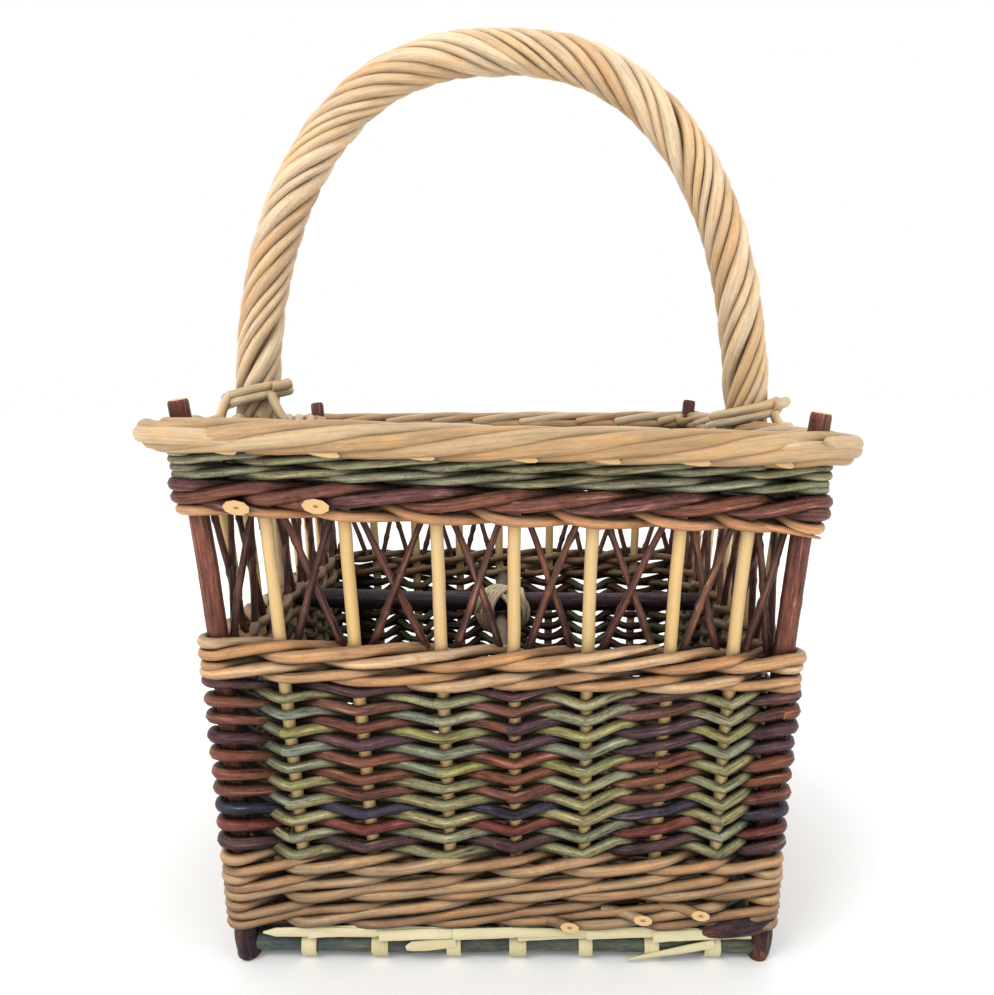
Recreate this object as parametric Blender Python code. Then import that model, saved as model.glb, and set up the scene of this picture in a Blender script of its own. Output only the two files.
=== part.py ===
# Square willow basket with a fixed, roped arch handle. Metres, +Z up, front is -Y.
# Origin: the middle of the square that its feet stand on.

import math

import bmesh
import bpy
import numpy as np
from mathutils import Matrix, Vector

# Gap between pieces that touch, and how far a cutter runs past what it cuts
CLEARANCE = 0.0003
CUT_OVERRUN = 0.004
MERGE_DISTANCE = 0.00001

# Walls: half the width between the wall middles, at the ground and at the top of the weave
FLOOR_HALF_WIDTH = 0.124
RIM_HALF_WIDTH = 0.1454
FLARE_STRAIGHT_SHARE = 0.507
CORNER_ROUND = 0.004

# Rods
POST_RADIUS = 0.0049
POST_STICK_OUT = 0.008
POST_FOOT_LENGTH = 0.012
STAKE_RADIUS = 0.0031
STAKE_TOP_SINK = 0.0008
WEAVER_THICKNESS = 0.0031
BODY_RIB_RISE = 0.0009
BODY_RIB_GROOVE = 0.0007
LATTICE_ROD_RADIUS = 0.0014
LATTICE_LAYER_STEP = 0.0008
LATTICE_TURN_WIDTH = 0.004
LATTICE_END_INSET = 0.009
PAIRING_ROD_RADIUS = 0.0019
RAIL_RADIUS = 0.0036
HOOK_RADIUS = 0.0011
HOOK_SPARE = 0.0008
HOOK_LIFT = 0.0004
SCALLOM_STRIP_HEIGHT = 0.0044

# Heights of the bands, from the ground up
BOTTOM_WALE_HEIGHT = 0.037
BODY_HEIGHT = 0.0827
MIDDLE_WALE_HEIGHT = 0.0177
OPENWORK_HEIGHT = 0.0595
PAIRING_HEIGHT = 0.0067
PURPLE_WALE_HEIGHT = 0.0115
GREEN_WALE_HEIGHT = 0.0142
BORDER_HEIGHT = 0.0142

# Border: how far it reaches inside and outside the wall's middle
BORDER_INSIDE = 0.006
BORDER_OUTSIDE = 0.017
BORDER_EDGE_ROUND = 0.0045
BORDER_CORNER_ROUND = 0.012

# Floor
FLOOR_THICKNESS = 0.006
FLOOR_LIFT = 0.0035
FLOOR_GROOVE = 0.0016

# Handle
BOW_RADIUS = 0.0039
BOW_TIP_RADIUS = 0.0026
BOW_HALF_SPAN = 0.151
BOW_RISE = 0.2265
BOW_CURVE_POWER = 2.35
BOW_LEG_DEPTH = 0.160
BOW_LEG_SPARE = 0.0010
STRAND_RADIUS = 0.0043
STRAND_BOW_GAP = 0.0003
STRAND_SIDE_GAP = 0.0008
STRAND_ANGLE = 30
BINDING_ROD_RADIUS = 0.0022
BINDING_GAP = 0.0005
BINDING_TURN_GAP = 0.0008

# Cross bars inside
CROSS_BAR_RADIUS = 0.0058
CROSS_POLE_RADIUS = 0.0043
BAR_SOCKET_DEPTH = 0.0014
POLE_SOCKET_DEPTH = 0.0020
LASHING_ROD_RADIUS = 0.0012
LASHING_GAP = 0.0003
LASHING_TURN_GAP = 0.0007

# Counts: each rib of the body stands for one of its rods, each rib of the floor for two
BODY_RODS = 20
FLOOR_RIBS = 28
STRANDS = 5
STRAND_POINTS_A_TURN = 9
BOW_POINTS = 30
BINDING_TURNS = 2.5
LASHING_TURNS_A_SIDE = 3
WINDING_POINTS_A_TURN = 12
ARC_POINTS = 4
FINE_STEPS = 600

# Where the stakes stand, as shares of the wall's half width
FRONT_STAKE_SHARES = (-0.78, -0.515, -0.208, 0.05, 0.31, 0.60, 0.822)
BACK_STAKE_SHARES = (-0.74, -0.506, -0.253, -0.023, 0.266, 0.497, 0.757)
SIDE_STAKE_SHARES = (-0.75, -0.5, -0.25, 0.0, 0.25, 0.5, 0.75)
# Angles of the hook's points round the base rail, from its outer side down and in
HOOK_ANGLES = (30, -20, -70, -120, -170)

# Colours of the rods: linear red, green, blue
BROWN_BARK = (0.15, 0.055, 0.04)
PEELED = (0.70, 0.50, 0.28)
STAKE_PALE = (0.72, 0.53, 0.24)
TAN = (0.54, 0.29, 0.14)
GREEN_BARK = (0.26, 0.28, 0.13)
PURPLE_BARK = (0.10, 0.04, 0.045)
RAIL_BARK = (0.11, 0.14, 0.125)
WILLOW_ROUGHNESS = 0.55

collections = {}


def clear_scene():
    for obj in list(bpy.data.objects):
        bpy.data.objects.remove(obj, do_unlink=True)


def make_collections():
    for key, name in (("parts", "wicker_basket"), ("cutters", "basket_cutters")):
        collections[key] = bpy.data.collections.new(name)
        bpy.context.scene.collection.children.link(collections[key])


def material(name, colour):
    made = bpy.data.materials.new(name)
    made.use_nodes = True
    shader = made.node_tree.nodes["Principled BSDF"]
    shader.inputs["Base Color"].default_value = (*colour, 1.0)
    shader.inputs["Roughness"].default_value = WILLOW_ROUGHNESS
    shader.inputs["Metallic"].default_value = 0.0
    return made


def finish_part(obj, colour):
    obj.data.materials.clear()
    obj.data.materials.append(material(obj.name + "_willow", colour))
    return obj


# Levels worked out from the band heights
RAIL_LEVEL = HOOK_LIFT + HOOK_RADIUS * 2 + HOOK_SPARE + RAIL_RADIUS
HOOK_LOOP_RADIUS = RAIL_RADIUS + HOOK_SPARE + HOOK_RADIUS
BOTTOM_WALE_LOW = RAIL_LEVEL + RAIL_RADIUS + SCALLOM_STRIP_HEIGHT
BOTTOM_WALE_TOP = BOTTOM_WALE_LOW + BOTTOM_WALE_HEIGHT
BODY_LOW = BOTTOM_WALE_TOP + CLEARANCE
BODY_TOP = BODY_LOW + BODY_HEIGHT
MIDDLE_WALE_LOW = BODY_TOP + CLEARANCE
MIDDLE_WALE_TOP = MIDDLE_WALE_LOW + MIDDLE_WALE_HEIGHT
OPENWORK_TOP = MIDDLE_WALE_TOP + OPENWORK_HEIGHT
PAIRING_TOP = OPENWORK_TOP + PAIRING_HEIGHT
PURPLE_WALE_LOW = PAIRING_TOP
PURPLE_WALE_TOP = PURPLE_WALE_LOW + PURPLE_WALE_HEIGHT
GREEN_WALE_LOW = PURPLE_WALE_TOP + CLEARANCE
GREEN_WALE_TOP = GREEN_WALE_LOW + GREEN_WALE_HEIGHT
BORDER_LOW = GREEN_WALE_TOP + CLEARANCE
BORDER_TOP = BORDER_LOW + BORDER_HEIGHT
WALL_HALF_THICKNESS = STAKE_RADIUS + WEAVER_THICKNESS
STAKE_FOOT = BOTTOM_WALE_LOW - CLEARANCE
UPRIGHT_BEND = MIDDLE_WALE_TOP + LATTICE_ROD_RADIUS
LATTICE_OFFSET = BOW_RADIUS + LATTICE_ROD_RADIUS + CLEARANCE
PAIRING_OFFSET = BOW_RADIUS + PAIRING_ROD_RADIUS + CLEARANCE
BOW_Y = -(STAKE_RADIUS + BOW_RADIUS + CLEARANCE * 2 + BOW_LEG_SPARE)
WINDING_CHORD = math.cos(math.pi / WINDING_POINTS_A_TURN)
STRAND_CHORD = math.cos(math.pi / STRAND_POINTS_A_TURN)
STRAND_RING = max(
    (BOW_RADIUS + STRAND_BOW_GAP + STRAND_RADIUS) / STRAND_CHORD,
    (STRAND_RADIUS * 2 + STRAND_SIDE_GAP) * STRANDS / (math.tau * math.cos(math.radians(STRAND_ANGLE))),
)
STRAND_LEAD = math.tau * STRAND_RING / math.tan(math.radians(STRAND_ANGLE))
CROSS_BAR_LEVEL = (MIDDLE_WALE_LOW + MIDDLE_WALE_TOP) / 2
CROSS_POLE_LEVEL = CROSS_BAR_LEVEL - CROSS_BAR_RADIUS - CLEARANCE - CROSS_POLE_RADIUS


def half_width(z):
    """Half the width between the wall middles at a height: the wall flares a little more as it rises."""
    share = z / GREEN_WALE_TOP
    curve = FLARE_STRAIGHT_SHARE * share + (1 - FLARE_STRAIGHT_SHARE) * share**2
    return FLOOR_HALF_WIDTH + (RIM_HALF_WIDTH - FLOOR_HALF_WIDTH) * curve


# Turns of the front wall's frame onto each wall: front, right, back, left
SIDES = {
    "front": (0, FRONT_STAKE_SHARES),
    "right": (90, SIDE_STAKE_SHARES),
    "back": (180, tuple(-share for share in reversed(BACK_STAKE_SHARES))),
    "left": (270, SIDE_STAKE_SHARES),
}


def on_wall(turn, along, z, outwards):
    """A point on a wall: along it, up, and out from its middle surface."""
    point = Vector((along, -(half_width(z) + outwards), z))
    return Matrix.Rotation(math.radians(turn), 4, "Z") @ point


def link(obj, group="parts"):
    collections[group].objects.link(obj)
    return obj


def rod(name, points, radius, radii=None, sides=1, closed=False, group="parts"):
    """A round rod along its points: a poly curve with a round bevel and filled caps."""
    curve = bpy.data.curves.new(name, "CURVE")
    curve.dimensions = "3D"
    curve.bevel_depth = radius
    curve.bevel_resolution = sides
    curve.use_fill_caps = True
    spline = curve.splines.new("POLY")
    spline.points.add(len(points) - 1)
    for index, point in enumerate(points):
        spline.points[index].co = (*point, 1.0)
        spline.points[index].radius = radii[index] / radius if radii else 1.0
    spline.use_cyclic_u = closed
    spline.use_smooth = True
    return link(bpy.data.objects.new(name, curve), group)


def rod_to_mesh(obj, group):
    """The rod's evaluated mesh with its caps welded on, as a new object in its place."""
    name = obj.name
    bpy.context.view_layer.update()
    evaluated = obj.evaluated_get(bpy.context.evaluated_depsgraph_get())
    mesh = bpy.data.meshes.new_from_object(evaluated)
    bm = bmesh.new()
    bm.from_mesh(mesh)
    bmesh.ops.remove_doubles(bm, verts=bm.verts, dist=MERGE_DISTANCE)
    bmesh.ops.recalc_face_normals(bm, faces=bm.faces)
    bm.to_mesh(mesh)
    bm.free()
    matrix = obj.matrix_world.copy()
    bpy.data.objects.remove(obj, do_unlink=True)
    made = bpy.data.objects.new(name, mesh)
    made.matrix_world = matrix
    return link(made, group)


def join_meshes(name, objects):
    """One cutter mesh out of several that don't touch."""
    bm = bmesh.new()
    for obj in objects:
        bm.from_mesh(obj.data)
        bpy.data.objects.remove(obj, do_unlink=True)
    mesh = bpy.data.meshes.new(name)
    bm.to_mesh(mesh)
    bm.free()
    return link(bpy.data.objects.new(name, mesh), "cutters")


def as_cutter(obj):
    obj.hide_render = True
    obj.display_type = "WIRE"
    return obj


def cut(obj, cutter, name):
    mod = obj.modifiers.new(name, "BOOLEAN")
    mod.operation = "DIFFERENCE"
    mod.solver = "EXACT"
    mod.object = cutter


# Uprights

def post_line(top):
    """A corner post's middle line: straight up at the foot, so that its end lies flat on the ground."""
    foot = half_width(POST_FOOT_LENGTH)
    line = [Vector((foot, -foot, 0)), Vector((foot, -foot, POST_FOOT_LENGTH))]
    for level in ((BODY_LOW + BODY_TOP) / 2, UPRIGHT_BEND, OPENWORK_TOP, top):
        line.append(Vector((half_width(level), -half_width(level), level)))
    return line


def stake_line(turn, share, top):
    """A stake's middle line in the wall, from its top down to its foot."""
    return [on_wall(turn, share * half_width(level), level, 0) for level in (top, UPRIGHT_BEND, STAKE_FOOT)]


def hook_line(turn, share):
    """The thinned foot's middle line, from outside down and round the base rail."""
    line = []
    for angle in HOOK_ANGLES:
        outwards = HOOK_LOOP_RADIUS * math.cos(math.radians(angle))
        place = on_wall(turn, share * half_width(RAIL_LEVEL), RAIL_LEVEL, outwards)
        place.z = RAIL_LEVEL + HOOK_LOOP_RADIUS * math.sin(math.radians(angle))
        line.append(place)
    return line


def bow_arch(count):
    """The bow above the border: points, tangents and lengths, evenly spaced from left to right."""
    angles = np.linspace(math.pi, 0, FINE_STEPS)
    across = np.sign(np.cos(angles)) * np.abs(np.cos(angles)) ** (2 / BOW_CURVE_POWER)
    up = np.abs(np.sin(angles)) ** (2 / BOW_CURVE_POWER)
    fine = np.stack([across * BOW_HALF_SPAN, up * BOW_RISE], axis=1)
    lengths = np.concatenate([[0], np.cumsum(np.linalg.norm(np.diff(fine, axis=0), axis=1))])
    wanted = np.linspace(0, lengths[-1], count)
    flat = np.stack([np.interp(wanted, lengths, fine[:, axis]) for axis in (0, 1)], axis=1)
    slope = np.gradient(flat, axis=0)
    slope /= np.linalg.norm(slope, axis=1)[:, None]
    slope[0], slope[-1] = (0, 1), (0, -1)
    points = [Vector((x, BOW_Y, BORDER_TOP + CLEARANCE + z)) for x, z in flat]
    return points, slope, wanted


def bow_leg(side, spare):
    """The leg's middle line below the border's top, from its tip upwards, inside the wall."""
    tip = BORDER_TOP - BOW_LEG_DEPTH - spare
    border_foot = GREEN_WALE_TOP - BOW_RADIUS
    levels = (tip, UPRIGHT_BEND, OPENWORK_TOP - BOW_RADIUS, border_foot)
    return [Vector((side * half_width(level), BOW_Y, level)) for level in levels]


def bow_line(spare=0):
    """The whole bow's middle line and radii, from the tip of one leg to the tip of the other."""
    arch, _, _ = bow_arch(BOW_POINTS)
    left, right = bow_leg(-1, spare), bow_leg(1, spare)
    swell = (BOW_RADIUS - BOW_TIP_RADIUS) / (len(left) - 1)
    leg_radii = [BOW_TIP_RADIUS + swell * index for index in range(len(left))]
    return left + arch + right[::-1], leg_radii + [BOW_RADIUS] * len(arch) + leg_radii[::-1]


def make_posts():
    for index, place in enumerate(("front_left", "front_right", "back_right", "back_left")):
        turn = Matrix.Rotation(math.radians(90 * (index - 1)), 4, "Z")
        line = [turn @ point for point in post_line(BORDER_TOP + POST_STICK_OUT)]
        finish_part(rod("corner_post_" + place, line, POST_RADIUS, sides=2), BROWN_BARK)


def make_stakes():
    for side, (turn, shares) in SIDES.items():
        for index, share in enumerate(shares):
            line, hook = stake_line(turn, share, GREEN_WALE_TOP - STAKE_TOP_SINK), hook_line(turn, share)
            radii = [STAKE_RADIUS] * len(line) + [HOOK_RADIUS] * len(hook)
            stake = rod(f"stake_{side}_{index + 1}", line + hook, STAKE_RADIUS, radii)
            finish_part(stake, STAKE_PALE)


def make_rails():
    reach = half_width(POST_FOOT_LENGTH) - POST_RADIUS - CLEARANCE
    for side, (turn, _) in SIDES.items():
        ends = [on_wall(turn, reach * end, RAIL_LEVEL, 0) for end in (-1, 1)]
        finish_part(rod("base_rail_" + side, ends, RAIL_RADIUS, sides=2), RAIL_BARK)


def make_floor():
    """The woven floor as a slab between the stakes' feet, ribbed above and below where its rods lie."""
    reach = half_width(RAIL_LEVEL) - HOOK_LOOP_RADIUS - HOOK_RADIUS - CLEARANCE
    half_rib = reach / FLOOR_RIBS
    outline = []
    for index in range(FLOOR_RIBS * 2 + 1):
        level = FLOOR_LIFT + FLOOR_THICKNESS - FLOOR_GROOVE * (index % 2 == 0)
        outline.append((half_rib * index - reach, level))
    outline += [(place, FLOOR_LIFT * 2 + FLOOR_THICKNESS - level) for place, level in reversed(outline)]
    bm = bmesh.new()
    side = bm.faces.new([bm.verts.new((-reach, place, level)) for place, level in outline])
    grown = bmesh.ops.extrude_face_region(bm, geom=[side])["geom"]
    far_side = [item for item in grown if isinstance(item, bmesh.types.BMVert)]
    bmesh.ops.translate(bm, vec=(reach * 2, 0, 0), verts=far_side)
    bmesh.ops.recalc_face_normals(bm, faces=bm.faces)
    mesh = bpy.data.meshes.new("floor_mat")
    bm.to_mesh(mesh)
    bm.free()
    finish_part(link(bpy.data.objects.new("floor_mat", mesh)), STAKE_PALE)


# Room for the uprights and bars, cut out of what they pass through

def make_post_rooms():
    rooms = []
    for index in range(4):
        turn = Matrix.Rotation(math.radians(90 * index), 4, "Z")
        line = [turn @ point for point in post_line(BORDER_TOP + POST_STICK_OUT + CUT_OVERRUN)]
        rooms.append(room(f"post_room_{index}", line, POST_RADIUS, sides=2))
    return rooms


def make_stake_rooms():
    rooms = []
    for side, (turn, shares) in SIDES.items():
        for index, share in enumerate(shares):
            line = stake_line(turn, share, GREEN_WALE_TOP + CUT_OVERRUN)
            foot = on_wall(turn, share * half_width(STAKE_FOOT), STAKE_FOOT - CUT_OVERRUN, 0)
            rooms.append(room(f"stake_room_{side}_{index}", [*line, foot], STAKE_RADIUS))
    return rooms


def make_leg_rooms():
    line, radii = bow_line(CLEARANCE)
    below = len(bow_leg(1, 0)) + 2
    parts = (("left", slice(0, below)), ("right", slice(-below, None)))
    return [room("leg_room_" + name, line[part], BOW_RADIUS, radii[part]) for name, part in parts]


def make_bar_rooms():
    bar = room("bar_room", bar_line(CLEARANCE), CROSS_BAR_RADIUS, sides=2)
    pole = room("pole_room", pole_line(CLEARANCE), CROSS_POLE_RADIUS, sides=2)
    return [bar, pole]


def room(name, line, radius, radii=None, sides=1):
    """A cutter round a rod, one clearance larger all round."""
    wide = [one + CLEARANCE for one in radii] if radii else None
    return rod_to_mesh(rod(name, line, radius + CLEARANCE, wide, sides, group="cutters"), "cutters")


def copy_of(obj):
    return link(bpy.data.objects.new(obj.name + "_copy", obj.data.copy()), "cutters")


def make_cutters():
    """Room for all uprights in the walls, for posts and legs in the border, and for the cross bars."""
    posts, legs = make_post_rooms(), make_leg_rooms()
    rim_room = join_meshes("rim_room", [copy_of(obj) for obj in posts + legs])
    wall_room = join_meshes("wall_room", posts + make_stake_rooms() + legs)
    bars_room = join_meshes("bars_room", make_bar_rooms())
    for cutter in (rim_room, wall_room, bars_room):
        as_cutter(cutter)
    return rim_room, wall_room, bars_room


# Woven bands, each a square ring with its uprights' holes

def ring_wall(name, profile, corner_round, colour):
    """A square ring: a profile of (outwards, level) turned in four steps, its outer corners rounded."""
    bm = bmesh.new()
    corners = []
    for outwards, level in profile:
        reach = (half_width(level) + outwards) * math.sqrt(2)
        corners.append(bm.verts.new((reach, 0, level)))
    edges = [bm.edges.new((a, b)) for a, b in zip(corners, corners[1:] + corners[:1])]
    bmesh.ops.spin(bm, geom=corners + edges, cent=(0, 0, 0), axis=(0, 0, 1), angle=math.tau, steps=4)
    bmesh.ops.remove_doubles(bm, verts=bm.verts, dist=MERGE_DISTANCE)
    bmesh.ops.rotate(bm, cent=(0, 0, 0), matrix=Matrix.Rotation(math.radians(45), 3, "Z"), verts=bm.verts)
    bmesh.ops.recalc_face_normals(bm, faces=bm.faces)
    outer = [edge for edge in bm.edges if is_outer_corner(edge)]
    bmesh.ops.bevel(bm, geom=outer, offset=corner_round, segments=2, profile=0.5, affect="EDGES")
    bmesh.ops.recalc_face_normals(bm, faces=bm.faces)
    mesh = bpy.data.meshes.new(name)
    bm.to_mesh(mesh)
    bm.free()
    return finish_part(link(bpy.data.objects.new(name, mesh)), colour)


def is_outer_corner(edge):
    """A vertical edge on the outer side of one of the ring's four corners."""
    first, second = (vertex.co for vertex in edge.verts)
    if abs(first.z - second.z) < MERGE_DISTANCE:
        return False
    for place in (first, second):
        on_diagonal = abs(abs(place.x) - abs(place.y)) < MERGE_DISTANCE
        if not on_diagonal or abs(place.x) < half_width(place.z):
            return False
    return True


def band_profile(levels):
    out = [(WALL_HALF_THICKNESS, level) for level in levels]
    back = [(-WALL_HALF_THICKNESS, level) for level in reversed(levels)]
    return out + back


def ribbed_profile(low, top, count):
    """A band's profile with a rib for each rod: a groove at its foot, its crest in the middle."""
    crest, groove = WALL_HALF_THICKNESS + BODY_RIB_RISE, WALL_HALF_THICKNESS - BODY_RIB_GROOVE
    levels = np.linspace(low, top, count * 2 + 1)
    out = [(crest if index % 2 else groove, level) for index, level in enumerate(levels)]
    return out + [(-outwards, level) for outwards, level in reversed(out)]


def make_bands(wall_room, bars_room):
    bands = (
        ("bottom_wale", (BOTTOM_WALE_LOW, BOTTOM_WALE_TOP), TAN),
        ("body_weave", (BODY_LOW, BODY_TOP), GREEN_BARK),
        ("middle_wale", (MIDDLE_WALE_LOW, MIDDLE_WALE_TOP), TAN),
        ("purple_wale", (PURPLE_WALE_LOW, PURPLE_WALE_TOP), PURPLE_BARK),
        ("green_wale", (GREEN_WALE_LOW, GREEN_WALE_TOP), GREEN_BARK),
    )
    for name, levels, colour in bands:
        ribbed = name == "body_weave"
        profile = ribbed_profile(*levels, BODY_RODS) if ribbed else band_profile(levels)
        band = ring_wall(name, profile, CORNER_ROUND, colour)
        cut(band, wall_room, "uprights")
        if name in ("body_weave", "middle_wale"):
            cut(band, bars_room, "cross_bars")


def make_border(rim_room):
    edge = BORDER_EDGE_ROUND
    profile = (
        (BORDER_OUTSIDE, BORDER_LOW + edge),
        (BORDER_OUTSIDE, BORDER_TOP - edge),
        (BORDER_OUTSIDE - edge, BORDER_TOP),
        (-BORDER_INSIDE + edge, BORDER_TOP),
        (-BORDER_INSIDE, BORDER_TOP - edge),
        (-BORDER_INSIDE, BORDER_LOW + edge),
        (-BORDER_INSIDE + edge, BORDER_LOW),
        (BORDER_OUTSIDE - edge, BORDER_LOW),
    )
    border = ring_wall("border", profile, BORDER_CORNER_ROUND, PEELED)
    cut(border, rim_room, "uprights")


# Pairing and openwork

def arc(centre, radius, start, end, count):
    """Points on a level arc, angles in degrees."""
    turns = [math.radians(start + (end - start) * step / (count - 1)) for step in range(count)]
    return [centre + Vector((math.cos(turn), math.sin(turn), 0)) * radius for turn in turns]


def make_pairing():
    """The pairing's two rods, one outside and one inside the uprights."""
    level = (OPENWORK_TOP + PAIRING_TOP) / 2
    wall = half_width(level)
    first, last = 10, 80
    chord = math.cos(math.radians((last - first) / (ARC_POINTS - 1) / 2))
    round_post = (POST_RADIUS + PAIRING_ROD_RADIUS + CLEARANCE) / chord
    bend = wall - PAIRING_OFFSET
    outer, inner = [], []
    for index in range(4):
        turn = Matrix.Rotation(math.radians(90 * index), 4, "Z")
        post = Vector((wall, wall, level))
        outer += [turn @ point for point in arc(post, round_post, first, last, ARC_POINTS)]
        inner.append(turn @ Vector((bend, bend - PAIRING_OFFSET, level)))
        inner.append(turn @ Vector((bend - PAIRING_OFFSET, bend, level)))
    for name, line in (("pairing_rod_outer", outer), ("pairing_rod_inner", inner)):
        finish_part(rod(name, line, PAIRING_ROD_RADIUS, closed=True), TAN)


def zigzag(turn, shares, starts_low, layer):
    """One lattice rod: it turns beside each upright, by turns at the openwork's foot and top."""
    low = MIDDLE_WALE_TOP + LATTICE_ROD_RADIUS + CLEARANCE
    high = (OPENWORK_TOP + PAIRING_TOP) / 2 - PAIRING_ROD_RADIUS - LATTICE_ROD_RADIUS - CLEARANCE
    line = []
    uprights = (-1, *shares, 1)
    for index, share in enumerate(uprights):
        level = low if (index % 2 == 0) == starts_low else high
        inset = LATTICE_END_INSET if index in (0, len(uprights) - 1) else 0
        middle = share * (half_width(level) - inset)
        steps = (0,) if inset else (-LATTICE_TURN_WIDTH / 2, LATTICE_TURN_WIDTH / 2)
        line += [on_wall(turn, middle + step, level, -LATTICE_OFFSET - layer) for step in steps]
    return line


def make_lattices():
    for side, (turn, shares) in SIDES.items():
        name = "lattice_" + side
        front_line = zigzag(turn, shares, True, 0)
        back_line = zigzag(turn, shares, False, LATTICE_LAYER_STEP)
        first = rod_to_mesh(rod(name, front_line, LATTICE_ROD_RADIUS), "parts")
        crossing = rod(name + "_second", back_line, LATTICE_ROD_RADIUS, group="cutters")
        second = as_cutter(rod_to_mesh(crossing, "cutters"))
        mod = first.modifiers.new("crossing_rod", "BOOLEAN")
        mod.operation = "UNION"
        mod.solver = "EXACT"
        mod.object = second
        finish_part(first, BROWN_BARK)


# Cross bars and their lashing

def bar_line(spare=0):
    reach = half_width(CROSS_BAR_LEVEL) - WALL_HALF_THICKNESS + BAR_SOCKET_DEPTH + spare
    return [Vector((-reach, 0, CROSS_BAR_LEVEL)), Vector((reach, 0, CROSS_BAR_LEVEL))]


def pole_line(spare=0):
    reach = half_width(CROSS_POLE_LEVEL) - WALL_HALF_THICKNESS + POLE_SOCKET_DEPTH + spare
    return [Vector((0, -reach, CROSS_POLE_LEVEL)), Vector((0, reach, CROSS_POLE_LEVEL))]


def lashing_points():
    """Turns round the bar on both sides of the pole, with one strap that passes under the pole."""
    ring = (CROSS_BAR_RADIUS + LASHING_GAP + LASHING_ROD_RADIUS) / WINDING_CHORD
    beside = CROSS_POLE_RADIUS + LASHING_GAP + LASHING_ROD_RADIUS
    pitch = LASHING_ROD_RADIUS * 2 + LASHING_TURN_GAP
    under = CROSS_POLE_LEVEL - CROSS_POLE_RADIUS - LASHING_GAP - LASHING_ROD_RADIUS
    count = LASHING_TURNS_A_SIDE * WINDING_POINTS_A_TURN
    coil = []
    for step in range(count + 1):
        turns = step / WINDING_POINTS_A_TURN
        angle = math.tau * turns
        x = -beside - pitch * (LASHING_TURNS_A_SIDE - turns)
        coil.append(Vector((x, -ring * math.cos(angle), CROSS_BAR_LEVEL - ring * math.sin(angle))))
    reach = math.hypot(beside, ring)
    bend = ring / 2
    direction = Vector((beside, ring, 0)) / reach
    strap = []
    for angle in (180, 210, 240, 270):
        spot = -reach + bend + bend * math.cos(math.radians(angle))
        strap.append(direction * spot + Vector((0, 0, under + bend + bend * math.sin(math.radians(angle)))))
    left = coil + strap
    right = [Vector((-point.x, -point.y, point.z)) for point in left]
    line = left + right[::-1]
    tangent = (line[0] - line[1]).normalized() * LASHING_ROD_RADIUS * 2
    return [line[0] + tangent, *line, line[-1] + Vector((-tangent.x, -tangent.y, tangent.z))]


def make_cross_bars():
    finish_part(rod("cross_bar", bar_line(), CROSS_BAR_RADIUS, sides=2), PURPLE_BARK)
    finish_part(rod("cross_pole", pole_line(), CROSS_POLE_RADIUS, sides=2), RAIL_BARK)
    line = lashing_points()
    finish_part(rod("centre_lashing", line, LASHING_ROD_RADIUS), PEELED)
    print_self_gap("centre_lashing", line, LASHING_ROD_RADIUS)


# Handle

def strand_points(phase):
    """One strand wound round the bow, with a straight end of one diameter at each foot."""
    _, _, lengths = bow_arch(BOW_POINTS)
    total = lengths[-1]
    count = round(total / STRAND_LEAD * STRAND_POINTS_A_TURN) + 1
    places, slopes, along = bow_arch(count)
    straight = STRAND_RADIUS * 2
    ease = STRAND_LEAD / STRAND_POINTS_A_TURN * 2
    line = []
    for place, slope, length in zip(places, slopes, along):
        wound = eased(length, straight, ease) - eased(length, total - straight - ease, ease)
        angle = phase + math.tau * wound / STRAND_LEAD
        outward = Vector((-slope[1], 0, slope[0]))
        line.append(place + (outward * math.cos(angle) + Vector((0, -1, 0)) * math.sin(angle)) * STRAND_RING)
    return line


def eased(length, start, ease):
    """The length past a start, begun gently over the ease."""
    past = min(max(length - start, 0), ease)
    rest = max(length - start - ease, 0)
    gentle = past * past / (2 * ease)
    return gentle + rest


def make_handle():
    line, radii = bow_line()
    finish_part(rod("handle_bow", line, BOW_RADIUS, radii), PEELED)
    for index in range(STRANDS):
        line = strand_points(math.tau * index / STRANDS)
        name = f"handle_strand_{index + 1}"
        finish_part(rod(name, line, STRAND_RADIUS), PEELED)
        print_self_gap(name, line, STRAND_RADIUS)


def binding_points(side):
    """A foot binding: up from the border, round the strands, and down to the border on the far side."""
    ring = (STRAND_RING + STRAND_RADIUS + BINDING_GAP + BINDING_ROD_RADIUS) / WINDING_CHORD
    pitch = BINDING_ROD_RADIUS * 2 + BINDING_TURN_GAP
    foot = BORDER_TOP + CLEARANCE
    straight = BINDING_ROD_RADIUS * 2
    line = [Vector((0, -ring, foot)), Vector((0, -ring, foot + straight))]
    steps = round(BINDING_TURNS * WINDING_POINTS_A_TURN)
    widening = WINDING_POINTS_A_TURN / 4
    for step in range(1, steps + 1):
        angle = math.tau * step / WINDING_POINTS_A_TURN
        reach = ring + pitch * max(step - steps + widening, 0) / widening
        level = foot + straight * 2 + pitch * step / WINDING_POINTS_A_TURN
        line.append(Vector((math.sin(angle) * reach, -math.cos(angle) * reach, level)))
    end = line[-1]
    for angle in (45, 90):
        across, down = math.sin(math.radians(angle)), 1 - math.cos(math.radians(angle))
        line.append(end - Vector((straight * across, 0, straight * down)))
    last = line[-1]
    line += [Vector((last.x, last.y, foot + straight)), Vector((last.x, last.y, foot))]
    return [Vector((side * (BOW_HALF_SPAN + point.x), BOW_Y + point.y, point.z)) for point in line]


def make_bindings():
    for name, side in (("handle_binding_left", -1), ("handle_binding_right", 1)):
        line = binding_points(side)
        finish_part(rod(name, line, BINDING_ROD_RADIUS), PEELED)
        print_self_gap(name, line, BINDING_ROD_RADIUS)


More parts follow.
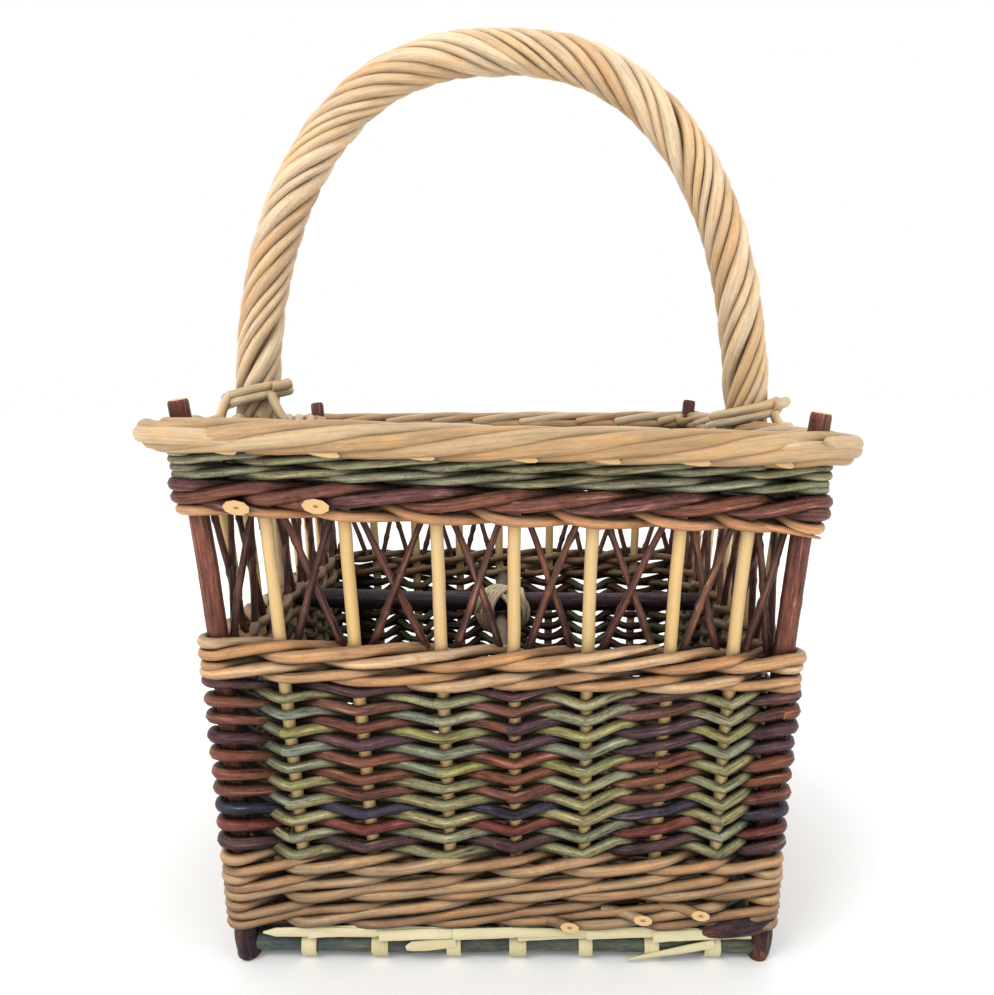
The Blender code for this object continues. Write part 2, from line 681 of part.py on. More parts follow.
def print_self_gap(name, line, radius):
    """The least gap of a wound rod to itself, between stretches further apart along it than half a turn."""
    places = np.array([tuple(point) for point in line])
    shares = (0, 0.25, 0.5, 0.75)
    fine = np.concatenate([places[:-1] + (places[1:] - places[:-1]) * share for share in shares])
    order = np.concatenate([np.arange(len(places) - 1) + share for share in shares])
    apart = np.linalg.norm(fine[:, None] - fine[None], axis=2)
    far = np.abs(order[:, None] - order[None]) > WINDING_POINTS_A_TURN / 3
    print(f"{name}: least gap to itself {(apart[far].min() - radius * 2) * 1000:.2f} mm")


def main():
    clear_scene()
    make_collections()
    rim_room, wall_room, bars_room = make_cutters()
    make_posts()
    make_stakes()
    make_rails()
    make_floor()
    make_bands(wall_room, bars_room)
    make_pairing()
    make_lattices()
    make_border(rim_room)
    make_cross_bars()
    make_handle()
    make_bindings()


main()
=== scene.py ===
import math
import random

import bpy
import numpy as np
from mathutils import Euler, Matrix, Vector


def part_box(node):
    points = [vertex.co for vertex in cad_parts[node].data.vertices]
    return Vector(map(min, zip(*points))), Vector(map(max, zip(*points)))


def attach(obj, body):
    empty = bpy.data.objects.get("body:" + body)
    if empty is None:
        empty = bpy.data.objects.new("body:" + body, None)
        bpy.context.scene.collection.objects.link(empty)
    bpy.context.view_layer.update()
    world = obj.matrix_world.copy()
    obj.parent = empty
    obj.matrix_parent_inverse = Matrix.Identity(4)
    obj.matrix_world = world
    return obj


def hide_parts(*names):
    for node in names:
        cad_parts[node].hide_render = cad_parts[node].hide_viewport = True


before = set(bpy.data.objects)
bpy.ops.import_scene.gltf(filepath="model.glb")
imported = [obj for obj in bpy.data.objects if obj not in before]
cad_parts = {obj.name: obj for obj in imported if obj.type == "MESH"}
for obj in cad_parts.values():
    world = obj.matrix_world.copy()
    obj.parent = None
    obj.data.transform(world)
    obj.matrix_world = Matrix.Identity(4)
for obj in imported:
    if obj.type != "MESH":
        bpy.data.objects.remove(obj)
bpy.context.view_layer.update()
print("frame loaded:", len(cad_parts), "nodes")


# Camera, lights and floor

camera = {
    "place": (0.0047, -0.5558, 0.2731),
    "down": 0.13, "left": 0.74, "roll": -0.30,   # degrees
    "focalPixels": 883.8, "horizonAboveMiddle": 99.2, "imageHeight": 995, "sensor": 36.0,
}
studio = {
    "lights": (
        ("keyLight", (-0.75, -1.15, 1.35), 0.8, 10.0),
        ("fillLight", (1.25, -0.95, 0.75), 1.3, 2.5),
        ("topLight", (0.1, 0.35, 1.7), 1.0, 3.0),
        ("backLight", (0.3, 1.5, 0.9), 1.2, 2.0),
    ),
    "aim": (0, 0, 0.2), "skyStrength": 1.0, "floorSize": 14.0, "floorDrop": 0.0004,
    "paperRough": 0.8, "paperGlow": 0.07,
}


def makeCamera():
    data = bpy.data.cameras.new("photoCamera")
    data.sensor_width = camera["sensor"]
    data.lens = camera["focalPixels"] * camera["sensor"] / camera["imageHeight"]
    data.shift_y = -camera["horizonAboveMiddle"] / camera["imageHeight"]
    data.clip_start, data.clip_end = 0.02, 30
    made = bpy.data.objects.new("photoCamera", data)
    made.location = camera["place"]
    turns = Euler((math.radians(90 - camera["down"]), 0, math.radians(camera["left"]))).to_matrix()
    roll = Euler((0, 0, math.radians(camera["roll"]))).to_matrix()
    made.rotation_euler = (turns @ roll).to_euler()
    bpy.context.scene.collection.objects.link(made)
    bpy.context.scene.camera = made


def makeLights():
    aim = Vector(studio["aim"])
    for name, place, size, power in studio["lights"]:
        data = bpy.data.lights.new(name, "AREA")
        data.shape, data.size, data.energy = "DISK", size, power
        lamp = bpy.data.objects.new(name, data)
        lamp.location = place
        lamp.rotation_euler = (aim - Vector(place)).to_track_quat("-Z", "Y").to_euler()
        bpy.context.scene.collection.objects.link(lamp)
    sky = bpy.data.worlds.new("paleSky")
    sky.use_nodes = True
    light = sky.node_tree.nodes["Background"]
    light.inputs["Color"].default_value = (1.0, 1.0, 1.0, 1)
    light.inputs["Strength"].default_value = studio["skyStrength"]
    bpy.context.scene.world = sky
    bpy.context.scene.view_settings.view_transform = "Standard"


# Node wiring: a Wire is one socket, and sums on it add their own Math nodes

class Wire:
    def __init__(self, bench, socket):
        self.bench, self.socket = bench, socket

    def maths(self, operation, first, second):
        return self.bench.node("ShaderNodeMath", {"operation": operation}, {0: first, 1: second})

    def __add__(self, other):
        return self.maths("ADD", self, other)

    def __radd__(self, other):
        return self.maths("ADD", other, self)

    def __sub__(self, other):
        return self.maths("SUBTRACT", self, other)

    def __rsub__(self, other):
        return self.maths("SUBTRACT", other, self)

    def __mul__(self, other):
        return self.maths("MULTIPLY", self, other)

    def __rmul__(self, other):
        return self.maths("MULTIPLY", other, self)

    def __truediv__(self, other):
        return self.maths("DIVIDE", self, other)

    def __pow__(self, other):
        return self.maths("POWER", self, other)

    def __gt__(self, other):
        return self.maths("GREATER_THAN", self, other)

    def clamped(self):
        return self.bench.node("ShaderNodeClamp", {}, {"Value": self})


class Bench:
    def __init__(self, tree):
        self.tree = tree

    def node(self, kind, settings=None, sockets=None, out=0):
        made = self.tree.nodes.new(kind)
        for key, value in (settings or {}).items():
            setattr(made, key, value)
        for key, value in (sockets or {}).items():
            if isinstance(value, Wire):
                self.tree.links.new(value.socket, made.inputs[key])
            else:
                made.inputs[key].default_value = value
        return Wire(self, made.outputs[out])

    def blendColours(self, share, first, second):
        return self.node("ShaderNodeMix", {"data_type": "RGBA"}, {0: share, 6: first, 7: second}, out=2)

    def vector(self, operation, first, second, into=1, out=0):
        return self.node("ShaderNodeVectorMath", {"operation": operation}, {0: first, into: second}, out)

    def stretch(self, vector, scale):
        return self.vector("MULTIPLY", vector, scale)

    def noise(self, vector, scale, detail=2.0, roughness=0.5):
        sockets = {"Vector": vector, "Scale": scale, "Detail": detail, "Roughness": roughness}
        return self.node("ShaderNodeTexNoise", {}, sockets)


def tint(text):
    # A hex colour as linear red, green, blue
    parts = [int(text[place:place + 2], 16) / 255 for place in (1, 3, 5)]
    return tuple(part / 12.92 if part <= 0.04045 else ((part + 0.055) / 1.055) ** 2.4 for part in parts)


def paint(text):
    return (*tint(text), 1)


# Finishes. Every rod carries its own colour, its place round and along itself, and its cut ends.
# grain: fine streaks along the rod; patches: slow changes along it; flecks: small dots in the bark

# two keys per finish are painted shade: how much its colour darkens near other rods, and how much on the side turned
# inward
finishes = {
    "peeledWillow": {
        "grain": 0.55, "patches": 0.30, "grainScale": 820, "patchScale": 38, "stretch": 0.05,
        "stain": "#A9713F", "stainShare": 0.30, "stainFrom": 0.56, "fleck": "#7A5130", "fleckShare": 0.35,
        "fleckScale": 95, "fleckSize": 0.10, "rough": 0.52, "roughSpread": 0.25, "bump": 0.35, "coat": 0.05,
        "depth": 0.82, "second": "#D9A766", "secondShare": 0.45, "scuff": 0.10, "paintedShadeShare": 0.62, "inner": 0.10,
    },
    "paleStake": {
        "grain": 0.16, "patches": 0.14, "grainScale": 820, "patchScale": 30, "stretch": 0.03,
        "stain": "#C08E4C", "stainShare": 0.25, "stainFrom": 0.60, "fleck": "#8A6A3C", "fleckShare": 0.25,
        "fleckScale": 60, "fleckSize": 0.06, "rough": 0.50, "roughSpread": 0.2, "bump": 0.2, "coat": 0.05,
        "depth": 0.90, "second": "#E2B26A", "secondShare": 0.25, "scuff": 0.08, "paintedShadeShare": 0.22, "inner": 0.20,
    },
    "tanWillow": {
        "grain": 0.85, "patches": 0.50, "grainScale": 820, "patchScale": 42, "stretch": 0.05,
        "stain": "#93603A", "stainShare": 0.45, "stainFrom": 0.52, "fleck": "#5E3B25", "fleckShare": 0.45,
        "fleckScale": 110, "fleckSize": 0.11, "rough": 0.50, "roughSpread": 0.25, "bump": 0.4, "coat": 0.06,
        "depth": 1.02, "second": "#C98850", "secondShare": 0.40, "scuff": 0.20, "paintedShadeShare": 0.92, "inner": 0.62,
    },
    "greenBark": {
        "grain": 1.70, "patches": 0.75, "grainScale": 760, "patchScale": 60, "stretch": 0.08,
        "stain": "#6A5338", "stainShare": 0.70, "stainFrom": 0.50, "fleck": "#3A3524", "fleckShare": 0.75,
        "fleckScale": 170, "fleckSize": 0.15, "rough": 0.62, "roughSpread": 0.25, "bump": 0.8, "coat": 0.0,
        "sheen": 0.22, "depth": 1.06, "second": "#7C8570", "secondShare": 0.50, "scuff": 0.40,
        "paintedShadeShare": 0.92, "inner": 0.62,
    },
    "purpleBark": {
        "grain": 1.80, "patches": 0.90, "grainScale": 760, "patchScale": 55, "stretch": 0.06,
        "stain": "#7E4C42", "stainShare": 0.35, "stainFrom": 0.55, "fleck": "#A98D7C", "fleckShare": 0.45,
        "fleckScale": 150, "fleckSize": 0.11, "rough": 0.46, "roughSpread": 0.3, "bump": 0.8, "coat": 0.0,
        "sheen": 0.20, "depth": 1.12, "second": "#4A3330", "secondShare": 0.50, "scuff": 0.26,
        "paintedShadeShare": 0.90, "inner": 0.62,
    },
    "brownBark": {
        "grain": 1.60, "patches": 0.70, "grainScale": 760, "patchScale": 45, "stretch": 0.05,
        "stain": "#5A3A36", "stainShare": 0.40, "stainFrom": 0.54, "fleck": "#B79A86", "fleckShare": 0.4,
        "fleckScale": 170, "fleckSize": 0.10, "rough": 0.48, "roughSpread": 0.3, "bump": 0.8, "coat": 0.0,
        "sheen": 0.20, "depth": 0.98, "second": "#94583C", "secondShare": 0.50, "scuff": 0.24,
        "paintedShadeShare": 0.75, "inner": 0.30,
    },
    "greyBark": {
        "grain": 1.00, "patches": 0.70, "grainScale": 760, "patchScale": 55, "stretch": 0.10,
        "stain": "#7C7A4E", "stainShare": 0.60, "stainFrom": 0.50, "fleck": "#2E3126", "fleckShare": 0.8,
        "fleckScale": 200, "fleckSize": 0.17, "rough": 0.55, "roughSpread": 0.25, "bump": 0.5, "coat": 0.04,
        "depth": 0.80, "second": "#6E6A4C", "secondShare": 0.50, "scuff": 0.15, "paintedShadeShare": 0.50,
    },
}
# painted shade: how far apart rods still darken each other's colour, and how sharply; how soon a side turned inward is
# painted darker
wearAndPaintedShade = {"paintedShadeReach": 0.2, "paintedShadePower": 1.6, "inwardReach": 9.0, "blotchShare": 1.6, "scuffColour": "#D8C8B0"}
finishes["handleWillow"] = {**finishes["peeledWillow"], "depth": 0.89, "second": "#DDA968", "inner": 0.0}
woodCut = {
    "sapwood": "#E6C692", "ring": "#C99A62", "pith": "#8E6A46", "ringScale": 2600.0, "pithFall": 1600.0,
}
bumpDistance = 0.0005
madeFinishes = {}


def willowFinish(name):
    if name in madeFinishes:
        return madeFinishes[name]
    look = finishes[name]
    material = bpy.data.materials.new(name)
    material.use_nodes = True
    bench = Bench(material.node_tree)
    shader = material.node_tree.nodes["Principled BSDF"]
    place = bench.node("ShaderNodeAttribute", {"attribute_name": "rodPlace"}, out="Vector")
    own = bench.node("ShaderNodeAttribute", {"attribute_name": "rodColour"}, out="Color")
    cut = bench.node("ShaderNodeAttribute", {"attribute_name": "cutEnd"}, out="Fac")
    streaks = bench.noise(bench.stretch(place, (1, 1, look["stretch"])), look["grainScale"], 4.0, 0.65)
    patches = bench.noise(bench.stretch(place, (3, 3, 1)), look["patchScale"], 3.0, 0.6)
    blotches = bench.noise(bench.stretch(place, (2, 2, 1)), look["patchScale"] * 3.1, 3.0, 0.7)
    dots = bench.node("ShaderNodeTexVoronoi", {}, {"Vector": place, "Scale": look["fleckScale"] * 4})
    fleck = ((look["fleckSize"] * 1.6 - dots) * 9).clamped()
    stained = ((blotches - look["stainFrom"]) * 7).clamped() * look["stainShare"]
    colour = bench.blendColours(stained, own, paint(look["stain"]))
    toned = ((patches - 0.5) * 6).clamped() * look["secondShare"]
    colour = bench.blendColours(toned, colour, paint(look["second"]))
    scuffed = ((streaks - 0.6) * 8).clamped() * look["scuff"]
    colour = bench.blendColours(scuffed, colour, paint(wearAndPaintedShade["scuffColour"]))
    shade = 1.0 + (streaks - 0.5) * look["grain"] * 2 + (patches - 0.5) * look["patches"] * 2
    shade = shade + (blotches - 0.5) * look["patches"] * wearAndPaintedShade["blotchShare"]
    # painted shade: the colour darkens where the occlusion node finds rods or the floor close by, in crevices, inside
    # the basket and low down
    unoccluded = bench.node("ShaderNodeAmbientOcclusion", {"samples": 4}, {"Distance": wearAndPaintedShade["paintedShadeReach"]}, out="AO")
    shade = shade * look["depth"] * (unoccluded ** wearAndPaintedShade["paintedShadePower"] * look["paintedShadeShare"] + (1 - look["paintedShadeShare"]))
    # painted shade: sides that face the basket's inside are painted darker, by each finish's inner share
    outward = bench.stretch(bench.node("ShaderNodeTexCoord", {}, {}, out="Object"), (1, 1, 0))
    normal = bench.node("ShaderNodeNewGeometry", {}, {}, out="Normal")
    away = bench.vector("DOT_PRODUCT", outward, normal, out="Value")
    shade = shade * (1 - (away * -wearAndPaintedShade["inwardReach"]).clamped() * look.get("inner", 0.45))
    colour = bench.vector("SCALE", colour, shade, into="Scale")
    colour = bench.blendColours(fleck * look["fleckShare"], colour, paint(look["fleck"]))
    flat = bench.stretch(place, (1, 1, 0))
    fromPith = bench.node("ShaderNodeVectorMath", {"operation": "LENGTH"}, {0: flat}, out="Value")
    rings = bench.node("ShaderNodeTexNoise", {"noise_dimensions": "1D"}, {"W": fromPith, "Scale": woodCut["ringScale"]})
    wood = bench.blendColours(rings, paint(woodCut["sapwood"]), paint(woodCut["ring"]))
    wood = bench.blendColours((fromPith * -woodCut["pithFall"] + 1.5).clamped(), wood, paint(woodCut["pith"]))
    colour = bench.blendColours(cut, colour, wood)
    rough = look["rough"] + (streaks - 0.5) * look["roughSpread"]
    height = streaks * 0.6 + blotches * 0.5 - fleck * 0.4
    bump = bench.node("ShaderNodeBump", {}, {
        "Strength": look["bump"], "Distance": bumpDistance, "Height": height})
    links = material.node_tree.links
    links.new(colour.socket, shader.inputs["Base Color"])
    links.new(rough.socket, shader.inputs["Roughness"])
    links.new(bump.socket, shader.inputs["Normal"])
    shader.inputs["Coat Weight"].default_value = look["coat"]
    shader.inputs["Specular IOR Level"].default_value = look.get("sheen", 0.35)
    madeFinishes[name] = material
    return material


# The rod tree: every chain of points becomes a round willow rod, with swellings, bends and knots

def buildRodTree():
    tree = bpy.data.node_groups.new("willowRods", "GeometryNodeTree")
    inputs = (
        ("Lines", "NodeSocketGeometry", None), ("Sides", "NodeSocketInt", 9),
        ("Unevenness", "NodeSocketFloat", 0.07), ("Waver", "NodeSocketFloat", 0.0004),
        ("Knot Swell", "NodeSocketFloat", 0.12), ("Knot Spacing", "NodeSocketFloat", 0.05),
        ("Knot Length", "NodeSocketFloat", 0.0035), ("Seed", "NodeSocketInt", 1),
        ("Finish", "NodeSocketMaterial", None),
    )
    for name, kind, value in inputs:
        socket = tree.interface.new_socket(name, in_out="INPUT", socket_type=kind)
        if value is not None:
            socket.default_value = value
    tree.interface.new_socket("Rods", in_out="OUTPUT", socket_type="NodeSocketGeometry")
    bench = Bench(tree)
    source = tree.nodes.new("NodeGroupInput")
    given = {socket.name: Wire(bench, socket) for socket in source.outputs if socket.name}

    def read(name, kind="FLOAT"):
        return bench.node("GeometryNodeInputNamedAttribute", {"data_type": kind}, {"Name": name})

    def keep(geometry, name, value, kind="FLOAT", domain="POINT"):
        settings = {"data_type": kind, "domain": domain}
        sockets = {"Geometry": geometry, "Name": name, "Value": value}
        return bench.node("GeometryNodeStoreNamedAttribute", settings, sockets)

    along, seed = read("along"), read("rodSeed")
    walk = seed * 53.0 + given["Seed"]
    slow = {"W": along * 22.0 + walk, "Scale": 1.0, "Detail": 2.0}
    uneven = bench.node("ShaderNodeTexNoise", {"noise_dimensions": "1D"}, slow)
    drift = bench.node("ShaderNodeTexNoise", {"noise_dimensions": "1D"}, slow, out="Color")
    cells = {"W": along / given["Knot Spacing"] + walk, "Scale": 1.0}
    knot = bench.node("ShaderNodeTexVoronoi", {"voronoi_dimensions": "1D"}, cells)
    near = (1.0 - knot * given["Knot Spacing"] / given["Knot Length"]).clamped()
    swell = 1.0 + (uneven - 0.5) * 2.0 * given["Unevenness"] + near * near * given["Knot Swell"]
    centred = bench.vector("SUBTRACT", drift, (0.5, 0.5, 0.5))
    shift = bench.vector("SCALE", centred, given["Waver"] * 2.0, into="Scale")
    curve = bench.node("GeometryNodeMeshToCurve", {}, {"Mesh": given["Lines"]})
    curve = bench.node("GeometryNodeSetPosition", {}, {"Geometry": curve, "Offset": shift})
    curve = keep(curve, "thick", read("thick") * swell)
    curve = keep(curve, "middle", bench.node("GeometryNodeInputPosition"), "FLOAT_VECTOR")
    curve = keep(curve, "way", bench.node("GeometryNodeInputTangent"), "FLOAT_VECTOR")
    ring = bench.node("GeometryNodeCurvePrimitiveCircle", {}, {"Resolution": given["Sides"], "Radius": 1.0})
    ring = keep(ring, "round", bench.node("GeometryNodeInputPosition"), "FLOAT_VECTOR")
    sweep = {"Curve": curve, "Profile Curve": ring, "Scale": read("thick"), "Fill Caps": True}
    rods = bench.node("GeometryNodeCurveToMesh", {}, sweep)
    # a slanting cut: its rings slide along the rod on to a plane that faces one way
    facing, way = read("facing", "FLOAT_VECTOR"), read("way", "FLOAT_VECTOR")
    spot = bench.node("GeometryNodeInputPosition")
    reach = bench.vector("SUBTRACT", spot, read("middle", "FLOAT_VECTOR"))
    ahead = bench.vector("DOT_PRODUCT", reach, facing, out="Value")
    slope = bench.vector("DOT_PRODUCT", way, facing, out="Value")
    slide = ahead / (slope + 0.00001) * read("slant") * -1.0
    offset = bench.vector("SCALE", way, slide, into="Scale")
    rods = bench.node("GeometryNodeSetPosition", {}, {"Geometry": rods, "Offset": offset})
    across = bench.node("ShaderNodeSeparateXYZ", {}, {0: read("round", "FLOAT_VECTOR")})
    up = Wire(bench, across.socket.node.outputs[1])
    parts = {"X": across * read("thick"), "Y": up * read("thick"), "Z": along + seed * 7.0}
    rods = keep(rods, "rodPlace", bench.node("ShaderNodeCombineXYZ", {}, parts), "FLOAT_VECTOR")
    corners = bench.node("GeometryNodeInputMeshFaceNeighbors")
    cap = corners > 4.5
    rods = keep(rods, "cutEnd", cap, domain="FACE")
    rods = bench.node("GeometryNodeSetShadeSmooth", {}, {"Geometry": rods, "Shade Smooth": 1.0 - cap})
    rods = bench.node("GeometryNodeRealizeInstances", {}, {"Geometry": rods})
    rods = bench.node("GeometryNodeSetMaterial", {}, {"Geometry": rods, "Material": given["Finish"]})
    end = tree.nodes.new("NodeGroupOutput")
    tree.links.new(rods.socket, end.inputs[0])
    return tree


rodTree = buildRodTree()


# One rod is its points with thickness, its two end colours and a seed

def lengthsAlong(points):
    return np.concatenate([[0], np.cumsum(np.linalg.norm(np.diff(points, axis=0), axis=1))])


def writeAttributes(mesh, rows):
    # Each row is a name, its kind and one value for every point
    fields = {"FLOAT": "value", "FLOAT_VECTOR": "vector", "FLOAT_COLOR": "color"}
    for key, kind, values in rows:
        data = mesh.attributes.new(key, kind, "POINT").data
        data.foreach_set(fields[kind], values.astype(np.float32).ravel())


def smoothLine(points, step):
    # A smooth line through rows of x, y, z and thickness, with even short steps
    points = np.asarray(points, float)
    gaps = np.linalg.norm(np.diff(points[:, :3], axis=0), axis=1)
    knots = np.concatenate([[0], np.cumsum(np.sqrt(gaps))])
    slopes = np.gradient(points, knots, axis=0) if len(points) > 2 else np.gradient(points, knots[1], axis=0)
    counts = np.maximum(1, np.round(gaps / step)).astype(int)
    span = np.repeat(np.arange(len(gaps)), counts)
    share = np.concatenate([np.arange(count) / count for count in counts])[:, None]
    first, second = points[span], points[span + 1]
    size = (knots[span + 1] - knots[span])[:, None]
    square, cube = share ** 2, share ** 3
    line = first * (2 * cube - 3 * square + 1) + second * (3 * square - 2 * cube)
    line += slopes[span] * size * (cube - 2 * square + share) + slopes[span + 1] * size * (cube - square)
    return np.vstack([line, points[-1]])


def softEnds(line, share=0.8):
    # A small worn bevel on both cut ends
    for _ in range(2):
        line = line[::-1]
        toward = line[-2] - line[-1]
        bevel = line[-1] + toward * min(0.8, 0.35 * line[-1, 3] / np.linalg.norm(toward[:3]))
        line = np.vstack([line[:-1], bevel, line[-1]])
        line[-1, 3] *= share
    return line


slantLength = 0.009   # how far from a slanting cut its rings start to tilt


class Rods:
    def __init__(self, seed):
        self.all, self.dice = [], random.Random(seed)

    def add(self, points, colour, endColour=None, step=0.0035, ends=0.8, facing=(0, 0, 0)):
        line = softEnds(smoothLine(points, step), ends)
        line[:, 2] += handSag(line[:, :3])
        self.all.append((line, tint(colour), tint(endColour or colour), self.dice.random(), facing))


def layRods(name, rods, finish, nodes=(), sides=9, uneven=0.07, waver=0.0004, swell=0.12, spacing=0.05):
    lines = [one[0] for one in rods.all]
    counts = [len(line) for line in lines]
    starts = np.cumsum([0] + counts[:-1])
    edges = np.concatenate([np.stack([np.arange(n - 1), np.arange(1, n)], 1) + at for n, at in zip(counts, starts)])
    mesh = bpy.data.meshes.new(name + "Lines")
    mesh.from_pydata(np.concatenate(lines)[:, :3].tolist(), edges.tolist(), [])
    walked, colours, seeds, slants, cuts = [], [], [], [], []
    for line, first, last, seed, facing in rods.all:
        length = lengthsAlong(line[:, :3])
        share = (length / length[-1])[:, None]
        walked.append(length)
        colours.append(np.hstack([np.array(first) * (1 - share) + np.array(last) * share, np.ones((len(line), 1))]))
        seeds.append(np.full(len(line), seed))
        slants.append(np.clip(1 - (length[-1] - length) / slantLength, 0, 1))
        cuts.append(np.tile(facing, (len(line), 1)))
    writeAttributes(mesh, (
        ("thick", "FLOAT", np.concatenate(lines)[:, 3]),
        ("along", "FLOAT", np.concatenate(walked)),
        ("rodSeed", "FLOAT", np.concatenate(seeds)),
        ("slant", "FLOAT", np.concatenate(slants)),
        ("facing", "FLOAT_VECTOR", np.concatenate(cuts)),
        ("rodColour", "FLOAT_COLOR", np.concatenate(colours)),
    ))
    guide = bpy.data.objects.new(name + "Lines", mesh)
    bpy.context.scene.collection.objects.link(guide)
    modifier = guide.modifiers.new("rods", "NODES")
    modifier.node_group = rodTree
    sockets = {item.name: item.identifier for item in rodTree.interface.items_tree if item.in_out == "INPUT"}
    values = {
        "Sides": sides, "Unevenness": uneven, "Waver": waver, "Knot Swell": swell, "Knot Spacing": spacing,
        "Seed": len(name), "Finish": willowFinish(finish),
    }
    for key, value in values.items():
        modifier[sockets[key]] = value
    bpy.context.view_layer.update()
    evaluated = guide.evaluated_get(bpy.context.evaluated_depsgraph_get())
    piece = bpy.data.objects.new(name, bpy.data.meshes.new_from_object(evaluated))
    bpy.data.objects.remove(guide, do_unlink=True)
    return seat(piece, nodes)


def seat(piece, nodes):
    bpy.context.scene.collection.objects.link(piece)
    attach(piece, "root")
    if nodes:
        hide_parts(*nodes)
    print(f"{piece.name}: {len(piece.data.polygons)} faces")
    return piece


# The walls: a flared square with a post at each corner and seven stakes a side

wall = {
    "floorHalf": 0.124, "rimHalf": 0.1454, "straightShare": 0.507, "weaveTop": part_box("green_wale")[1].z,
    "post": 0.0049, "stake": 0.0031, "legY": -0.0086, "legTip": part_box("handle_bow")[0].z,
    "footLevel": 0.012,
}
sag = {
    "rimTilt": 0.026, "cornerLift": 0.0048, "liftLevel": 0.150, "liftReach": 0.075, "liftWide": 0.13,
    "depth": 0.29, "from": 0.10, "growsOver": 0.11, "until": 0.34, "fadesOver": 0.08,
}
frontShares = (-0.78, -0.515, -0.208, 0.05, 0.31, 0.60, 0.822)
backShares = (-0.757, -0.497, -0.266, 0.023, 0.253, 0.506, 0.74)
sideShares = (-0.75, -0.5, -0.25, 0.0, 0.25, 0.5, 0.75)
wallNames = ("front", "right", "back", "left")
wallShares = (frontShares, sideShares, backShares, sideShares)
rail = {"level": 0.0070, "thick": 0.0047}


def halfWidth(level):
    share = level / wall["weaveTop"]
    curve = wall["straightShare"] * share + (1 - wall["straightShare"]) * share ** 2
    return wall["floorHalf"] + (wall["rimHalf"] - wall["floorHalf"]) * curve


def handSag(places):
    # The hand-made basket leans a little: its front rim falls to the right, its left corner weaves up
    x, y, z = places.T
    front = np.clip(0.5 - y / sag["depth"], 0, 1)
    upper = np.clip((z - sag["from"]) / sag["growsOver"], 0, 1) * np.clip((sag["until"] - z) / sag["fadesOver"], 0, 1)
    near = np.exp(-((z - sag["liftLevel"]) / sag["liftReach"]) ** 2)
    lift = sag["cornerLift"] * np.clip(-x / sag["liftWide"], 0, 1) ** 2 * near
    return front * (-sag["rimTilt"] * x * upper + lift)


def onWall(side, along, level, out):
    turn = math.radians(90 * side)
    y = -(halfWidth(level) + out)
    return np.array([along * math.cos(turn) - y * math.sin(turn), along * math.sin(turn) + y * math.cos(turn), level])


def outward(side):
    return onWall(side, 0, 0, 1) - onWall(side, 0, 0, 0)


def passing(step, level, out):
    # The places a rod takes at upright number step, counted from the front left post round the basket
    side, place = int(step // 8) % 4, step % 8
    half = halfWidth(level)
    if place == 0:
        if out > 0:
            across = ((-1, 0), (-0.7071, -0.7071), (0, -1))
            flat = [(-half + x * out, -half + y * out) for x, y in across]
        else:
            bend = 0.004
            flat = [(-half - out, -half - out + bend), (-half - out + bend, -half - out)]
        return [onWall(side, x, level, -y - half) for x, y in flat]
    share = float(np.interp(place, range(9), (-1, *wallShares[side], 1)))
    spots = [onWall(side, share * half, level, out)]
    if place == 4 and side in (1, 3) and level > wall["legTip"]:
        beside = onWall(side, wall["legY"] * (1 if side == 1 else -1), level, out * 1.12)
        spots = [beside, *spots] if side == 1 else [*spots, beside]
    return spots


def looseTip(rods, spots, colour):
    # along the front wall, height, how far out, thickness
    rods.add([(*onWall(0, along, level, out), thick) for along, level, out, thick in spots], colour, step=0.002)


def uprightSize(step):
    return wall["post"] if step % 8 == 0 else wall["stake"]


# Weaving in pairs of rods up the body: green in front of the odd uprights, purple in front of the even ones

body = {
    "rows": 10, "thick": (0.00240, 0.00262), "taper": 0.14, "dip": 0.0024, "jitter": 0.00045,
    "bend": 0.10, "behind": 0.16, "tuck": 0.0016, "between": 0.0022, "cornerSwell": 1.12,
    # height at the middle of each bay of the rod that goes behind and of the one that comes forward
    "bays": ((0.0004, 0.0004), (0.0004, 0.0004), (0.0004, 0.0004), (0.0006, 0.0006), (0.0018, 0.0014),
             (0.0046, -0.0042), (0.0022, 0.0022), (0.0046, -0.0042)),
    "floatDip": (1, 1, 1, 1, 1, 0.9, 0.45, 0.8),
    "greens": ("#A29A70", "#B2A678", "#878F7C", "#A09858", "#A2A080", "#7E8468"),
    "purples": ("#6E4034", "#824C38", "#5C3C3A", "#794B30", "#8C5A40", "#4E353C", "#7A4C3E"),
    "oddRods": {2: ("#31364A", "#4A3038"), 1: ("#803F36", "#6E3A34")},
}


def weaveBody():
    low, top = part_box("body_weave")[0].z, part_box("body_weave")[1].z
    pitch = (top - low) / body["rows"]
    for kind, name, finish, slot in ((0, "greenWeave", "greenBark", "green_bark_willow"),
                                     (1, "purpleWeave", "purpleBark", "purple_bark_willow")):
        rods = Rods(11 + kind)
        for row in range(body["rows"]):
            start = rods.dice.choice((18, 20, 22, 26)) + kind
            if kind and row in body["oddRods"]:
                start = 31
            half = rods.dice.choice((14, 16, 18))
            for first, last in ((start, start + half + 1), (start + half - 1, start + 33)):
                rods.add(*bodyRod(rods, kind, row, first, last, low + pitch * (row + 0.25 + 0.5 * kind)))
        layRods(name, rods, finish, ("body_weave",), swell=0.07)


